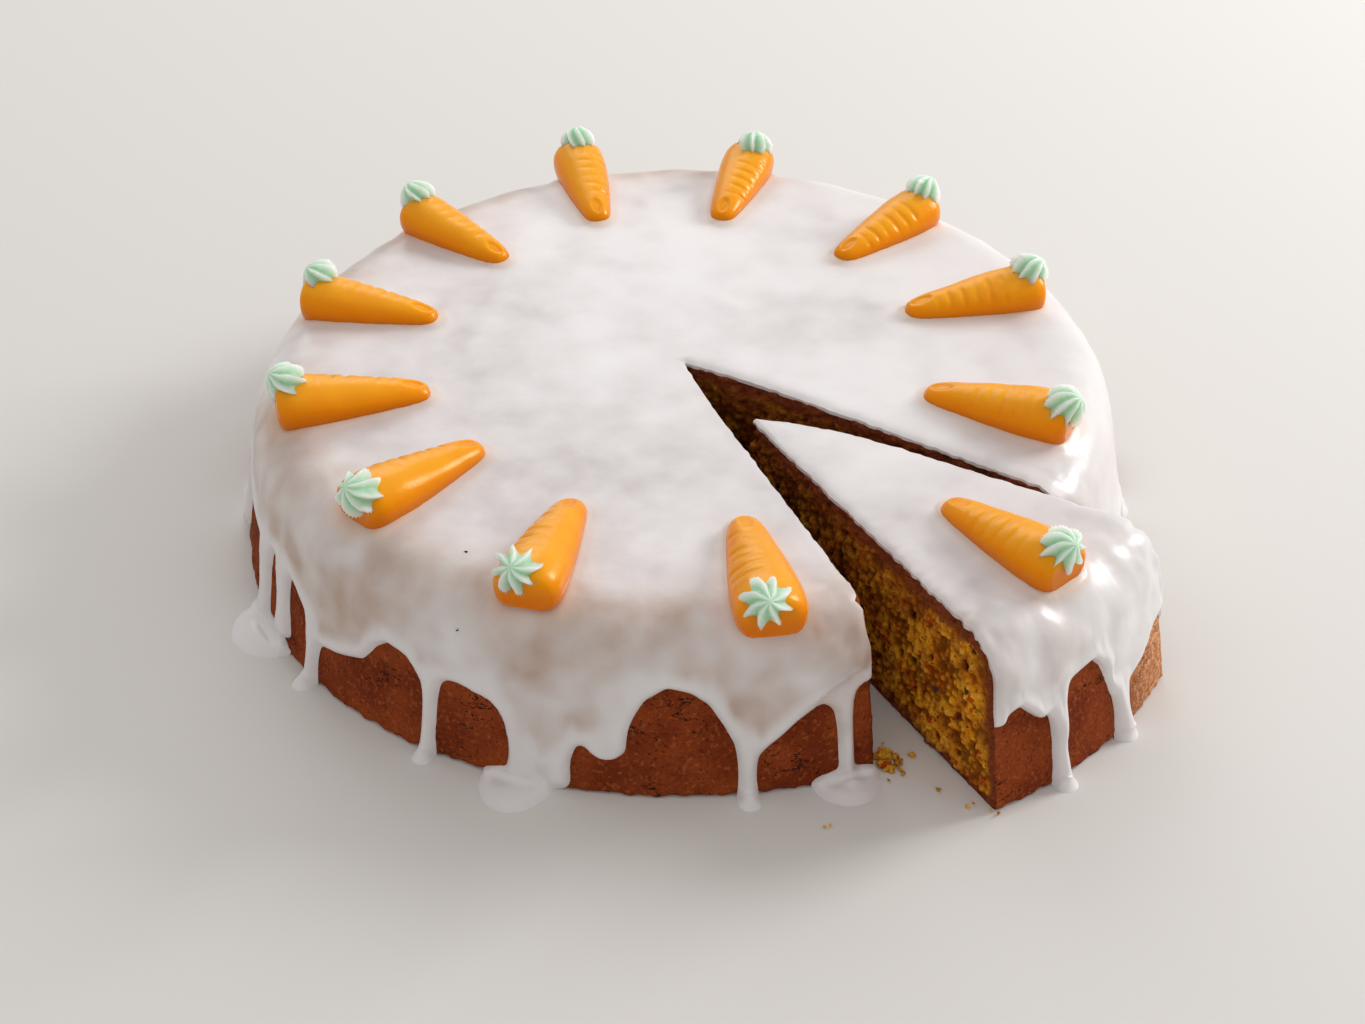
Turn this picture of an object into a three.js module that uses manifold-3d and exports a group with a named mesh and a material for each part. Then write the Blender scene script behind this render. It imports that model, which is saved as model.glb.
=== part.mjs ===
// A round carrot cake under poured icing, ringed by modelled carrots, with one slice cut and drawn out.
// Millimetres, +Z up. The origin is on the cake's axis at the height of its foot.
import * as THREE from "three";
import { mergeVertices } from "three/addons/utils/BufferGeometryUtils.js";
import Module from "manifold-3d";

const DEG = Math.PI / 180;
const GAP = 0.3;

// Sponge, turned out of a tin with sloping sides, so that it is widest at the foot.
const FOOT_RADIUS = 130;
const FOOT_ROUND = 1.5;
const SPONGE_HEIGHT = 48.3;
const SIDE_LEAN = 10 * DEG;
const SHOULDER_RADIUS = 13;
const SHOULDER_STEPS = 3;
const SPONGE_SIDES = 96;

// The knife's two cuts, which cross a little behind the axis, and where the slice has been drawn to.
const CUT_MIDDLE = -50.2 * DEG;
const CUT_BEHIND_AXIS = 8.5;
const NOTCH_HALF = 16.7 * DEG;
const NOTCH_BLUNT = 8;
const SLICE_HALF = 15.3 * DEG;
const SLICE_BLUNT = 15;
const SLICE_OUT = 27.6;
const SLICE_OUT_ANGLE = -51.9 * DEG;
const SLICE_TURN = 5.5 * DEG;
const KNIFE_REACH = 220;

// Icing, poured on the top and run over the shoulder.
const ICING = 1.8;
const ICING_EDGE = 0.9;
const ICING_BEAD = 0.5;
const BEAD_TOP = 2.4;
const BEAD_FOOT = 0.7;
const DRIP_BULGE = 0.9;
const FLOOR_CLEAR = 0.6;
const PUDDLE_TOP = 3;
const ON_PUDDLE = PUDDLE_TOP + 2 * GAP;

// Drips: [middle in degrees, width, height of the end, height of the bare arch on the far side of it,
// where in that arch its peak stands, from 0 to 1]. They run anticlockwise from the far left.
const DRIPS = [
  [-177, 16, ON_PUDDLE, 26, 0.6],
  [-152.2, 18, ON_PUDDLE, 25, 0.2],
  [-141, 6.8, FLOOR_CLEAR, 27, 0.72],
  [-121.1, 6, FLOOR_CLEAR, 24.5, 0.35],
  [-109.4, 8.4, ON_PUDDLE, 5.5, 0.5],
  [-104.7, 5, FLOOR_CLEAR, 14, 0.4],
  [-99, 8.6, 11, 32.5, 0.42],
  [-82.9, 6.6, FLOOR_CLEAR, 24.5, 0.8],
  [-71, 5.8, ON_PUDDLE, 28.5, 0.7],
  [-66.2, 2.6, 25.5, 29, 0.4],
  [-57, 6.4, FLOOR_CLEAR, 31, 0.5],
  [-45.5, 7.2, FLOOR_CLEAR, 19, 0.6],
  [-28, 13, FLOOR_CLEAR, 8, 0.5],
  [-16, 19, FLOOR_CLEAR, 9, 0.4],
  [-3, 16, FLOOR_CLEAR, 12, 0.5],
];
const ARCH_SQUARENESS = 2.4;

// The far side's drips are drawn by chance: each range holds a lowest value and what chance adds to it.
const FAR_DRIPS = {
  seed: 21,
  count: 12,
  first: 11,
  step: 13.4,
  wander: [-1.5, 3],
  width: [6, 4],
  toFloor: 0.6,
  end: [FLOOR_CLEAR, 10],
  arch: [19, 10],
  peak: [0.3, 0.4],
};
const FAR_PUDDLES = [1, 6];

// Puddles: [angle in degrees, length along the foot, reach from the axis].
const PUDDLES = [
  [177, 16, 134.2],
  [-152, 29, 141],
  [-110.2, 20, 142],
  [-70.8, 23, 140],
];
const FAR_PUDDLE = { length: 23, reach: 136 };
const PUDDLE_STEPS = 8;
const PUDDLE_HEART = 0.3;
const PUDDLE_END = 0.4;
const PUDDLE_PROFILE = [[0.72, 0.85], [0.95, 0.35], [1, 0]];

// Marzipan carrots: they lie tip inwards on the icing, each shaped by hand.
// Place: [angle of the tip, its distance from the axis, turn off the radius in degrees, size].
const CARROT_LENGTH = 41;
const CARROT_TIP = 4;
const CARROT_CROWN = 9.4;
const CARROT_FLATTEN = 0.66;
const CARROT_SINK = 1.4;
const CARROT_SIDES = 12;
const CARROT_PLACES = [
  [108.5, 84, -6, 0.97],
  [80.5, 79, -8, 0.97],
  [48.5, 73, -5, 1],
  [19.6, 71, -6, 1],
  [-16, 72, -10, 1],
  [-50.4, 73.4, -2.4, 0.98],
  [-78.2, 84, -4.8, 1.03],
  [-110.5, 78, 1, 1.04],
  [-141.5, 72.6, 7.3, 1.06],
  [-166.3, 74.2, 0.3, 1.04],
  [163.3, 76, 4.3, 0.97],
  [135.4, 77, 4, 1],
];
const SLICE_CARROT = 5;

// Piped green tops: a star of ridges that twist to a point, set on the upper edge of the crown.
const TUFT_RADIUS = 7.6;
const TUFT_HEIGHT = 7.5;
const TUFT_RIDGES = 8;
const TUFT_GROOVE = 0.62;
const TUFT_TWIST = 14 * DEG;
const TUFT_LEAN = 50 * DEG;
const TUFT_RINGS = [[0, 0.72], [0.14, 1], [0.45, 0.74], [0.75, 0.36]];
const TUFT_FROM_CROWN = 3.2;
const TUFT_SEAT = 7.4;

const wasm = await Module();
wasm.setup();

function finish(colour, roughness) {
  return new THREE.MeshStandardMaterial({ color: colour, roughness, metalness: 0 });
}

const MATERIALS = {
  sponge: () => finish("#a9702a", 0.9),
  icing: () => finish("#f0edec", 0.35),
  marzipan: () => finish("#f0931c", 0.45),
  buttercream: () => finish("#a9d3bc", 0.55),
};

// Repeatable draws from 0 to 1.
function draws(seed) {
  let state = seed;
  return () => {
    state = (state * 1103515245 + 12345) % 2147483648;
    return state / 2147483648;
  };
}

function solid(geometry) {
  const bare = geometry.clone();
  bare.deleteAttribute("normal");
  bare.deleteAttribute("uv");
  const merged = mergeVertices(bare, 1e-4);
  const vertProperties = new Float32Array(merged.attributes.position.array);
  const triVerts = new Uint32Array(merged.index.array);
  return new wasm.Manifold(new wasm.Mesh({ numProp: 3, vertProperties, triVerts }));
}

function geometryOf(body) {
  const { vertProperties, triVerts } = body.getMesh();
  const geometry = new THREE.BufferGeometry();
  geometry.setAttribute("position", new THREE.BufferAttribute(vertProperties, 3));
  geometry.setIndex(new THREE.BufferAttribute(triVerts, 1));
  return geometry;
}

function piece(name, geometry, material) {
  const mesh = new THREE.Mesh(geometry, material());
  mesh.name = name;
  return mesh;
}

// A closed skin from columns of points. All columns share their first and their last point.
function skin(columns) {
  const rows = columns[0].length;
  const inner = rows - 2;
  const points = columns.flatMap((column) => column.slice(1, -1));
  const first = points.length;
  const last = first + 1;
  const faces = [];
  columns.forEach((_, i) => {
    const here = i * inner;
    const next = ((i + 1) % columns.length) * inner;
    faces.push(first, here, next, last, next + inner - 1, here + inner - 1);
    for (let j = 0; j + 1 < inner; j += 1) {
      faces.push(here + j, here + j + 1, next + j);
      faces.push(next + j, here + j + 1, next + j + 1);
    }
  });
  points.push(columns[0][0], columns[0][rows - 1]);
  const geometry = new THREE.BufferGeometry().setFromPoints(points);
  geometry.setIndex(faces);
  return geometry;
}

function lathe(profile, sides) {
  const geometry = new THREE.LatheGeometry(profile, sides);
  return geometry.rotateX(Math.PI / 2);
}

// Side of the sponge: an arc over the shoulder, then a straight wall that leans out to the foot.
const SHOULDER_TURN = Math.PI / 2 - SIDE_LEAN;
const SHOULDER_ARC = SHOULDER_RADIUS * SHOULDER_TURN;
const SHOULDER_Z = SPONGE_HEIGHT - SHOULDER_RADIUS;
const WALL_TOP_Z = SHOULDER_Z + SHOULDER_RADIUS * Math.sin(SIDE_LEAN);
const WALL_TOP_R = FOOT_RADIUS - WALL_TOP_Z * Math.tan(SIDE_LEAN);
const SHOULDER_R = WALL_TOP_R - SHOULDER_RADIUS * Math.cos(SIDE_LEAN);

// Point of the side at a length down from the start of the shoulder, lifted off the sponge.
function sideAt(length, lift) {
  const turn = Math.max(Math.PI / 2 - length / SHOULDER_RADIUS, SIDE_LEAN);
  const down = Math.max(length - SHOULDER_ARC, 0);
  const reach = SHOULDER_RADIUS + lift;
  const r = SHOULDER_R + reach * Math.cos(turn) + down * Math.sin(SIDE_LEAN);
  const z = SHOULDER_Z + reach * Math.sin(turn) - down * Math.cos(SIDE_LEAN);
  return new THREE.Vector2(r, z);
}

function lengthAtHeight(z) {
  return SHOULDER_ARC + (WALL_TOP_Z - z) / Math.cos(SIDE_LEAN);
}

function shoulderLengths() {
  return Array.from({ length: SHOULDER_STEPS + 1 }, (_, i) => (SHOULDER_ARC * i) / SHOULDER_STEPS);
}

function spongeBody() {
  const rise = new THREE.Vector2(FOOT_RADIUS - FOOT_ROUND * Math.tan(SIDE_LEAN), FOOT_ROUND);
  const side = shoulderLengths().reverse().map((length) => sideAt(length, 0));
  const profile = [new THREE.Vector2(0, 0), new THREE.Vector2(FOOT_RADIUS - FOOT_ROUND, 0), rise, ...side];
  profile.push(new THREE.Vector2(0, SPONGE_HEIGHT));
  return solid(lathe(profile, SPONGE_SIDES));
}

// Upright prism between the two cuts, with the first stretch from where they cross left off.
function wedge(half, blunt) {
  const corner = (distance, side) => {
    const angle = CUT_MIDDLE + side * half;
    const x = distance * Math.cos(angle) - CUT_BEHIND_AXIS * Math.cos(CUT_MIDDLE);
    const y = distance * Math.sin(angle) - CUT_BEHIND_AXIS * Math.sin(CUT_MIDDLE);
    return new THREE.Vector2(x, y);
  };
  const outline = [corner(blunt, -1), corner(KNIFE_REACH, -1), corner(KNIFE_REACH, 1), corner(blunt, 1)];
  const depth = 2 * SPONGE_HEIGHT;
  const prism = new THREE.ExtrudeGeometry(new THREE.Shape(outline), { depth, bevelEnabled: false });
  return solid(prism.translate(0, 0, -SPONGE_HEIGHT / 2));
}

// Drips of the far side, like those in front but drawn by chance.
function farDrips() {
  const draw = draws(FAR_DRIPS.seed);
  const within = ([least, spread]) => least + spread * draw();
  return Array.from({ length: FAR_DRIPS.count }, (_, i) => {
    const middle = FAR_DRIPS.first + FAR_DRIPS.step * i + within(FAR_DRIPS.wander);
    const width = within(FAR_DRIPS.width);
    const free = draw() < FAR_DRIPS.toFloor ? FLOOR_CLEAR : within(FAR_DRIPS.end);
    const end = FAR_PUDDLES.includes(i) ? ON_PUDDLE : free;
    return [middle, width, end, within(FAR_DRIPS.arch), within(FAR_DRIPS.peak)];
  });
}

function dripsRound() {
  return [...DRIPS, ...farDrips()].map(([middle, width, end, arch, peak]) => {
    const half = width / 2 / FOOT_RADIUS;
    return { middle: middle * DEG, half, end, arch, peak };
  });
}

// Height of a bare arch between two drips: steep at both drips, round at its peak.
function archHeight(share, drip, next) {
  const stretched = share < drip.peak
    ? (0.5 * share) / drip.peak
    : 0.5 + (0.5 * (share - drip.peak)) / (1 - drip.peak);
  const base = drip.end + (next.end - drip.end) * share;
  const rise = Math.sqrt(1 - Math.abs(2 * stretched - 1) ** ARCH_SQUARENESS);
  return base + (drip.arch - base) * rise;
}

// Columns of the icing's edge, each with its angle, the height of its end and how far the drip bulges there.
function edgeColumns(drips) {
  const columns = [];
  drips.forEach((drip, i) => {
    const next = drips[(i + 1) % drips.length];
    const nextMiddle = next.middle + (i + 1 === drips.length ? 2 * Math.PI : 0);
    for (const across of [-1, -0.65, 0, 0.65, 1]) {
      const round = drip.half * FOOT_RADIUS * (1 - Math.sqrt(1 - across * across));
      const bulge = Math.sqrt(1 - across * across);
      columns.push({ angle: drip.middle + across * drip.half, end: drip.end + round, bulge });
    }
    const from = drip.middle + drip.half;
    const span = nextMiddle - next.half - from;
    for (const share of [0.06, 0.25, drip.peak, (1 + drip.peak) / 2, 0.94]) {
      columns.push({ angle: from + share * span, end: archHeight(share, drip, next), bulge: 0 });
    }
  });
  return columns;
}

function icingBody() {
  const around = (point, angle) =>
    new THREE.Vector3(point.x * Math.cos(angle), point.x * Math.sin(angle), point.y);
  const columns = edgeColumns(dripsRound()).map(({ angle, end, bulge }) => {
    const low = lengthAtHeight(end);
    const halfway = (SHOULDER_ARC + low) / 2;
    const outer = shoulderLengths().map((length) => sideAt(length, ICING));
    const inner = shoulderLengths().reverse().map((length) => sideAt(length, GAP));
    outer.push(sideAt(halfway, ICING + 0.4 * DRIP_BULGE * bulge));
    outer.push(sideAt(low - BEAD_TOP, ICING + ICING_BEAD + DRIP_BULGE * bulge));
    outer.push(sideAt(low - BEAD_FOOT, ICING + 0.7 * DRIP_BULGE * bulge));
    outer.push(sideAt(low, ICING_EDGE));
    const column = [...outer, sideAt(low, GAP), ...inner].map((point) => around(point, angle));
    const top = new THREE.Vector3(0, 0, SPONGE_HEIGHT + ICING);
    const under = new THREE.Vector3(0, 0, SPONGE_HEIGHT + GAP);
    return [top, ...column, under];
  });
  return solid(skin(columns));
}

// A puddle: a half oval against the foot, steep at its rim and highest in the middle of the foot.
function puddleBody(angle, length, reach) {
  const wall = FOOT_RADIUS + 2 * GAP;
  const depth = reach - wall;
  const at = (along, out, z) => {
    const turn = angle * DEG + along / wall;
    return new THREE.Vector3((wall + out) * Math.cos(turn), (wall + out) * Math.sin(turn), z);
  };
  const outline = [];
  for (let i = 0; i <= PUDDLE_STEPS; i++) {
    const round = (Math.PI * i) / PUDDLE_STEPS;
    outline.push([(-length / 2) * Math.cos(round), depth * Math.sin(round)]);
  }
  for (let i = 1; i < PUDDLE_STEPS; i++) outline.push([length / 2 - (length * i) / PUDDLE_STEPS, 0]);
  const heart = PUDDLE_HEART * depth;
  const columns = outline.map(([along, out]) => {
    const swell = Math.sqrt(Math.max(1 - (2 * along / length) ** 2, 0));
    const high = PUDDLE_TOP * (PUDDLE_END + (1 - PUDDLE_END) * swell);
    const againstFoot = out < 0.01 * depth;
    const ring = PUDDLE_PROFILE.map(([share, height]) =>
      againstFoot
        ? at(along, 0, high * height)
        : at(along * share, heart + (out - heart) * share, high * height));
    return [at(0, heart, PUDDLE_TOP), ...ring, at(0, heart, 0)];
  });
  return solid(skin(columns));
}

// Radius of a carrot against the distance from its tip: a round tip, a straight taper and a blunt crown.
function carrotProfile(grow) {
  const last = CARROT_LENGTH;
  const points = [
    [-grow, 0],
    [0.2 * CARROT_TIP, 0.6 * CARROT_TIP],
    [0.75 * CARROT_TIP, 0.96 * CARROT_TIP],
    [0.5 * last, 0.8 * CARROT_CROWN],
    [last - 8, CARROT_CROWN],
    [last - 2.6, 0.93 * CARROT_CROWN],
    [last - 0.5, 0.66 * CARROT_CROWN],
    [last + grow, 0],
  ];
  return points.map(([along, radius]) => new THREE.Vector2(radius === 0 ? 0 : radius + grow, along));
}

// A carrot along +X with its flat underside at the height of the group that holds it.
function carrotBody(grow) {
  const body = new THREE.LatheGeometry(carrotProfile(grow), CARROT_SIDES);
  body.rotateZ(-Math.PI / 2);
  body.scale(1, 1, CARROT_FLATTEN);
  const rise = CARROT_FLATTEN * (CARROT_CROWN - CARROT_TIP);
  body.rotateY(-Math.asin(rise / CARROT_LENGTH));
  body.translate(0, 0, CARROT_FLATTEN * CARROT_TIP - CARROT_SINK);
  const below = new THREE.BoxGeometry(3 * CARROT_LENGTH, CARROT_LENGTH, CARROT_LENGTH);
  below.translate(0, 0, -CARROT_LENGTH / 2);
  return solid(body).subtract(solid(below));
}

function tuftBody() {
  const columns = Array.from({ length: 2 * TUFT_RIDGES }, (_, i) => {
    const star = i % 2 === 0 ? 1 : TUFT_GROOVE;
    const ring = TUFT_RINGS.map(([height, width]) => {
      const angle = (Math.PI * i) / TUFT_RIDGES + TUFT_TWIST * height;
      const radius = TUFT_RADIUS * width * star;
      return new THREE.Vector3(radius * Math.cos(angle), radius * Math.sin(angle), TUFT_HEIGHT * height);
    });
    const tip = new THREE.Vector3(0, 0, TUFT_HEIGHT);
    return [tip, ...ring.reverse(), new THREE.Vector3(0, 0, 0)];
  });
  const star = skin(columns);
  star.rotateY(TUFT_LEAN);
  star.translate(CARROT_LENGTH - TUFT_FROM_CROWN, 0, TUFT_SEAT);
  return solid(star).subtract(carrotBody(GAP));
}

const whole = spongeBody();
const notch = wedge(NOTCH_HALF, NOTCH_BLUNT);
const slice = wedge(SLICE_HALF, SLICE_BLUNT);
const glaze = icingBody();
const carrot = carrotBody(0);
const tuft = tuftBody();

const cake = new THREE.Group();
cake.add(piece("cake_sponge", geometryOf(whole.subtract(notch)), MATERIALS.sponge));
cake.add(piece("cake_icing", geometryOf(glaze.subtract(notch)), MATERIALS.icing));

const farFeet = farDrips().filter((_, i) => FAR_PUDDLES.includes(i));
const farPools = farFeet.map(([at]) => [at, FAR_PUDDLE.length, FAR_PUDDLE.reach]);
[...PUDDLES, ...farPools].forEach((place, i) => {
  cake.add(piece(`icing_puddle_${i + 1}`, geometryOf(puddleBody(...place)), MATERIALS.icing));
});

const sliceGroup = new THREE.Group();
sliceGroup.rotation.z = SLICE_TURN;
sliceGroup.position.set(SLICE_OUT * Math.cos(SLICE_OUT_ANGLE), SLICE_OUT * Math.sin(SLICE_OUT_ANGLE), 0);
sliceGroup.add(piece("slice_sponge", geometryOf(whole.intersect(slice)), MATERIALS.sponge));
sliceGroup.add(piece("slice_icing", geometryOf(glaze.intersect(slice)), MATERIALS.icing));
cake.add(sliceGroup);

CARROT_PLACES.forEach(([angle, distance, turn, size], i) => {
  const number = String(i + 1).padStart(2, "0");
  const place = new THREE.Group();
  place.position.set(distance * Math.cos(angle * DEG), distance * Math.sin(angle * DEG), 0);
  place.position.z = SPONGE_HEIGHT + ICING + GAP;
  place.rotation.z = (angle + turn) * DEG;
  place.scale.setScalar(size);
  place.add(piece(`carrot_${number}`, geometryOf(carrot), MATERIALS.marzipan));
  place.add(piece(`tuft_${number}`, geometryOf(tuft), MATERIALS.buttercream));
  (i === SLICE_CARROT ? sliceGroup : cake).add(place);
});

export default cake;
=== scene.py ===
import math

import bpy
import numpy as np
from mathutils import Matrix, Vector, noise


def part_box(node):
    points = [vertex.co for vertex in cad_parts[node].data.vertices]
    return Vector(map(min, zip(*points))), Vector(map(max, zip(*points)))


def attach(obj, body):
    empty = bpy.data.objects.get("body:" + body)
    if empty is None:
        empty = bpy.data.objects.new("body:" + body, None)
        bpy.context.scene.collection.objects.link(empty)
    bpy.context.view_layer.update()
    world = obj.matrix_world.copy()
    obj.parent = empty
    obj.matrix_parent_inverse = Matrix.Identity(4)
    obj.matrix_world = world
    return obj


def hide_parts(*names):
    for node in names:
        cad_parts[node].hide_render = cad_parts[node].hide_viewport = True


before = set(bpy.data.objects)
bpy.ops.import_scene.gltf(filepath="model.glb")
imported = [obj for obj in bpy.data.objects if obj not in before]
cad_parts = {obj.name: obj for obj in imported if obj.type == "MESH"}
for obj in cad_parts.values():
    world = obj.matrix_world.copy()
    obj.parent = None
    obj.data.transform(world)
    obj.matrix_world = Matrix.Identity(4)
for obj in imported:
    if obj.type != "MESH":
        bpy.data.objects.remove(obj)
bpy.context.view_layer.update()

# The sponge: a carrot cake baked in a round tin with sloping sides and turned out, so that it is widest
# at the foot. It is the cake with a notch, and the slice that was cut out of that notch and drawn away.
# Sizes in this script are millimetres, and meshes are metres.
MM = 0.001
FOOT_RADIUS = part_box("cake_sponge")[1].x / MM
SPONGE_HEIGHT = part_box("cake_sponge")[1].z / MM
FOOT_ROUND = 1.5
SIDE_LEAN = math.radians(10)
SHOULDER = 13
SHOULDER_ARC = SHOULDER * (math.pi / 2 - SIDE_LEAN)
SHOULDER_Z = SPONGE_HEIGHT - SHOULDER
WALL_TOP_Z = SHOULDER_Z + SHOULDER * math.sin(SIDE_LEAN)
WALL_TOP_R = FOOT_RADIUS - WALL_TOP_Z * math.tan(SIDE_LEAN)
SHOULDER_R = WALL_TOP_R - SHOULDER * math.cos(SIDE_LEAN)
FOOT_LENGTH = SHOULDER_ARC + WALL_TOP_Z / math.cos(SIDE_LEAN)

CUT_MIDDLE = math.radians(-50.2)
CUT_BEHIND_AXIS = 8.5
NOTCH_HALF = math.radians(16.7)
SLICE_HALF = math.radians(15.3)
SLICE_OUT = 27.6
SLICE_OUT_ANGLE = math.radians(-51.9)
SLICE_TURN = math.radians(5.5)
KNIFE_REACH = 220
KNIFE_STEPS = 600
TIP_BEND = 35
# Tips of the cuts: [distance along the middle line, distance aside of it].
NOTCH_RIGHT_TIP = [0.4, 0.3]
NOTCH_LEFT_TIP = [0.4, -0.1]
NOTCH_LEFT_ASIDE = 0.9
SLICE_LEFT_TIP = [6.9, -3.8]
SLICE_RIGHT_TIP = [6.9, -2.6]
BULGE = 1.8
BULGE_AT = math.radians(-138)
BULGE_SPAN = math.radians(26)

# Relief of the crumb: [size of the lumps, how far they stand out, middle of their pattern].
CRUMB_LUMPS = [[2.0, 1.7, 0.45], [4.6, 1.3, 0.5]]
CRUMB_SWELL = 0.8
BROAD = 11
# Relief of the crust: [size of the swells, how far they stand out, what the rough foot adds].
CRUST_SWELLS = [[BROAD, 0.3, 0], [2.4, 0.16, 0.5], [1.1, 0.08, 0]]
ROUGH_FOOT = [1, 5]
# Spots: [distance between them, share of places with one, smallest and largest radius as parts of it].
HOLES = [4.8, 0.75, 0.14, 0.5]
HOLE_DEPTH = 2.2
HOLE_ROUND = 0.6
NUTS = [8.5, 0.55, 0.13, 0.32]
NUT_STANDS = 0.4
NUT_STEEP = 3
NUTS_OFF = 50
PITS = [5.5, 0.45, 0.07, 0.22]
PIT_DEPTH = 0.8
PIT_ROUND = 0.5
# How far out the crumb stands where its painted light starts, and where it is full: lumps that stand out are
# painted lighter, hollows darker as painted shade.
LIT = [-0.9, 1.1]
# How fast the crust's brown is left behind, going in from the foot, the top and the side.
IN_FROM_FOOT = 1.6
IN_FROM_TOP = 0.7
IN_FROM_SIDE = 1.2
# Painted shade that deepens toward the middle of the cake, and painted light on the pale side of the slice
# that faces the window: where they start and end.
SHADED_MIDDLE = [20, 100]
WINDOW_LIT_SPAN = [0.48, 0.68]
WINDOW_SIDE = math.radians(12)


def side_point(length):
    """Radius, height and slope of the bare side, at a length down from where the shoulder starts."""
    slope = np.clip(np.pi / 2 - length / SHOULDER, SIDE_LEAN, np.pi / 2)
    down = np.maximum(length - SHOULDER_ARC, 0)
    r = SHOULDER_R + np.minimum(length, 0) + SHOULDER * np.cos(slope) + down * math.sin(SIDE_LEAN)
    z = SHOULDER_Z + SHOULDER * np.sin(slope) - down * math.cos(SIDE_LEAN)
    return r, z, slope


def knife_line(side, half, tip_along, tip_across, aside=0):
    """One cut seen from above: its distances from the axis and, at each, its angle off the middle line.

    The cut is straight, and bends over its last stretch to meet the other cut at the tip."""
    away = np.linspace(0, 1, KNIFE_STEPS) ** 2 * KNIFE_REACH
    start = side * (tip_along + CUT_BEHIND_AXIS) * math.tan(half) + aside
    bend = (start - tip_across) * np.clip(1 - away / TIP_BEND, 0, 1) ** 2
    across = start + side * away * math.sin(half) - bend
    along = tip_along + away * math.cos(half)
    return np.hypot(along, across), np.arctan2(across, along)


NOTCH_RIGHT = knife_line(1, NOTCH_HALF, *NOTCH_RIGHT_TIP)
NOTCH_LEFT = knife_line(-1, NOTCH_HALF, *NOTCH_LEFT_TIP, NOTCH_LEFT_ASIDE)
NOTCH_LEFT = (NOTCH_LEFT[0], NOTCH_LEFT[1] + 2 * np.pi)
SLICE_LEFT = knife_line(-1, SLICE_HALF, *SLICE_LEFT_TIP)
SLICE_RIGHT = knife_line(1, SLICE_HALF, *SLICE_RIGHT_TIP)


def at_angle(line, radius):
    """Angle of a cut round the axis at a distance from it."""
    return CUT_MIDDLE + np.interp(radius, *line)


def to_metres(points, on_slice):
    """Points in metres, with the slice turned and drawn out, and the cake a bit out of round."""
    if not on_slice:
        off = np.arctan2(points[:, 1], points[:, 0]) - BULGE_AT
        off = (off + np.pi) % (2 * np.pi) - np.pi
        r = np.hypot(points[:, 0], points[:, 1])
        push = 1 + BULGE / FOOT_RADIUS * np.exp(-(off / BULGE_SPAN) ** 2) * (r / FOOT_RADIUS) ** 3
        points = points * np.stack([push, push, np.ones_like(push)], -1)
    else:
        cos, sin = math.cos(SLICE_TURN), math.sin(SLICE_TURN)
        turn = np.array([[cos, sin, 0], [-sin, cos, 0], [0, 0, 1]])
        out = [SLICE_OUT * math.cos(SLICE_OUT_ANGLE), SLICE_OUT * math.sin(SLICE_OUT_ANGLE), 0]
        points = points @ turn + out
    return points * MM


def smooth_step(value, low, high):
    t = np.clip((value - low) / (high - low), 0, 1)
    return t * t * (3 - 2 * t)


def new_piece(name, points, faces, values, material):
    """A mesh from points in metres, with named values at each point for its material to read."""
    mesh = bpy.data.meshes.new(name)
    mesh.from_pydata(points.tolist(), [], faces)
    for key, value in values.items():
        attribute = mesh.attributes.new(key, "FLOAT", "POINT")
        attribute.data.foreach_set("value", np.ravel(value).astype(np.float32))
    mesh.polygons.foreach_set("use_smooth", [True] * len(mesh.polygons))
    mesh.materials.append(material)
    piece = bpy.data.objects.new(name, mesh)
    bpy.context.scene.collection.objects.link(piece)
    return piece


def swell(points, size):
    """Smooth random swelling, from about -1 to 1, with swells of this size."""
    return np.array([noise.noise(p) for p in (points / size).tolist()])


SPOT_CHANCE = 7.31


def spots(points, spacing, share, low, high):
    """Round spots about this far apart: from 0 at a spot's rim to 1 at its middle.

    Only this share of places has a spot, and its radius is between low and high, as parts of the spacing."""
    depth = []
    for place in (points / spacing).tolist():
        distances, middles = noise.voronoi(place)
        chance = 0.5 + 0.5 * noise.noise(Vector(middles[0]) * SPOT_CHANCE)
        if chance > share:
            depth.append(0.0)
        else:
            radius = low + (high - low) * (1 - chance / share)
            depth.append(max(1 - distances[0] / radius, 0))
    return np.array(depth)


def sponge_grid(first, last, wall_columns, cut_columns, rows):
    """The sponge as a band of columns, each from the floor up: wall, last cut, its tip, first cut.

    Gives the points, how much each is on a cut, and how deep it lies under the baked outside."""
    length = np.linspace(FOOT_LENGTH, 0, rows)
    r, z, _ = side_point(length)
    r = r - FOOT_ROUND * (1 - np.sqrt(1 - np.clip(1 - z / FOOT_ROUND, 0, 1) ** 2))
    tip_z = np.linspace(0, SPONGE_HEIGHT, rows)
    columns = []
    for share in np.linspace(0, 1, wall_columns + 1):
        angle = at_angle(first, r) * (1 - share) + at_angle(last, r) * share
        columns.append((r * np.cos(angle), r * np.sin(angle), z, 0 * r, 0 * r))
    for line, inward in ((last, True), (first, False)):
        shares = np.linspace(0, 1, cut_columns + 1)[1:]
        for share in shares if inward else shares[::-1]:
            radius = r * (1 - share) + line[0][0] * share
            height = z * (1 - share) + tip_z * share
            angle = at_angle(line, radius)
            skin = np.minimum(IN_FROM_FOOT * height, IN_FROM_TOP * (SPONGE_HEIGHT - height))
            skin = np.minimum(skin, IN_FROM_SIDE * (r - radius))
            columns.append((radius * np.cos(angle), radius * np.sin(angle), height, 0 * r + 1, skin))
    grid = np.array(columns).transpose(0, 2, 1)
    return grid[..., :3], grid[..., 3], grid[..., 4]


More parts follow.
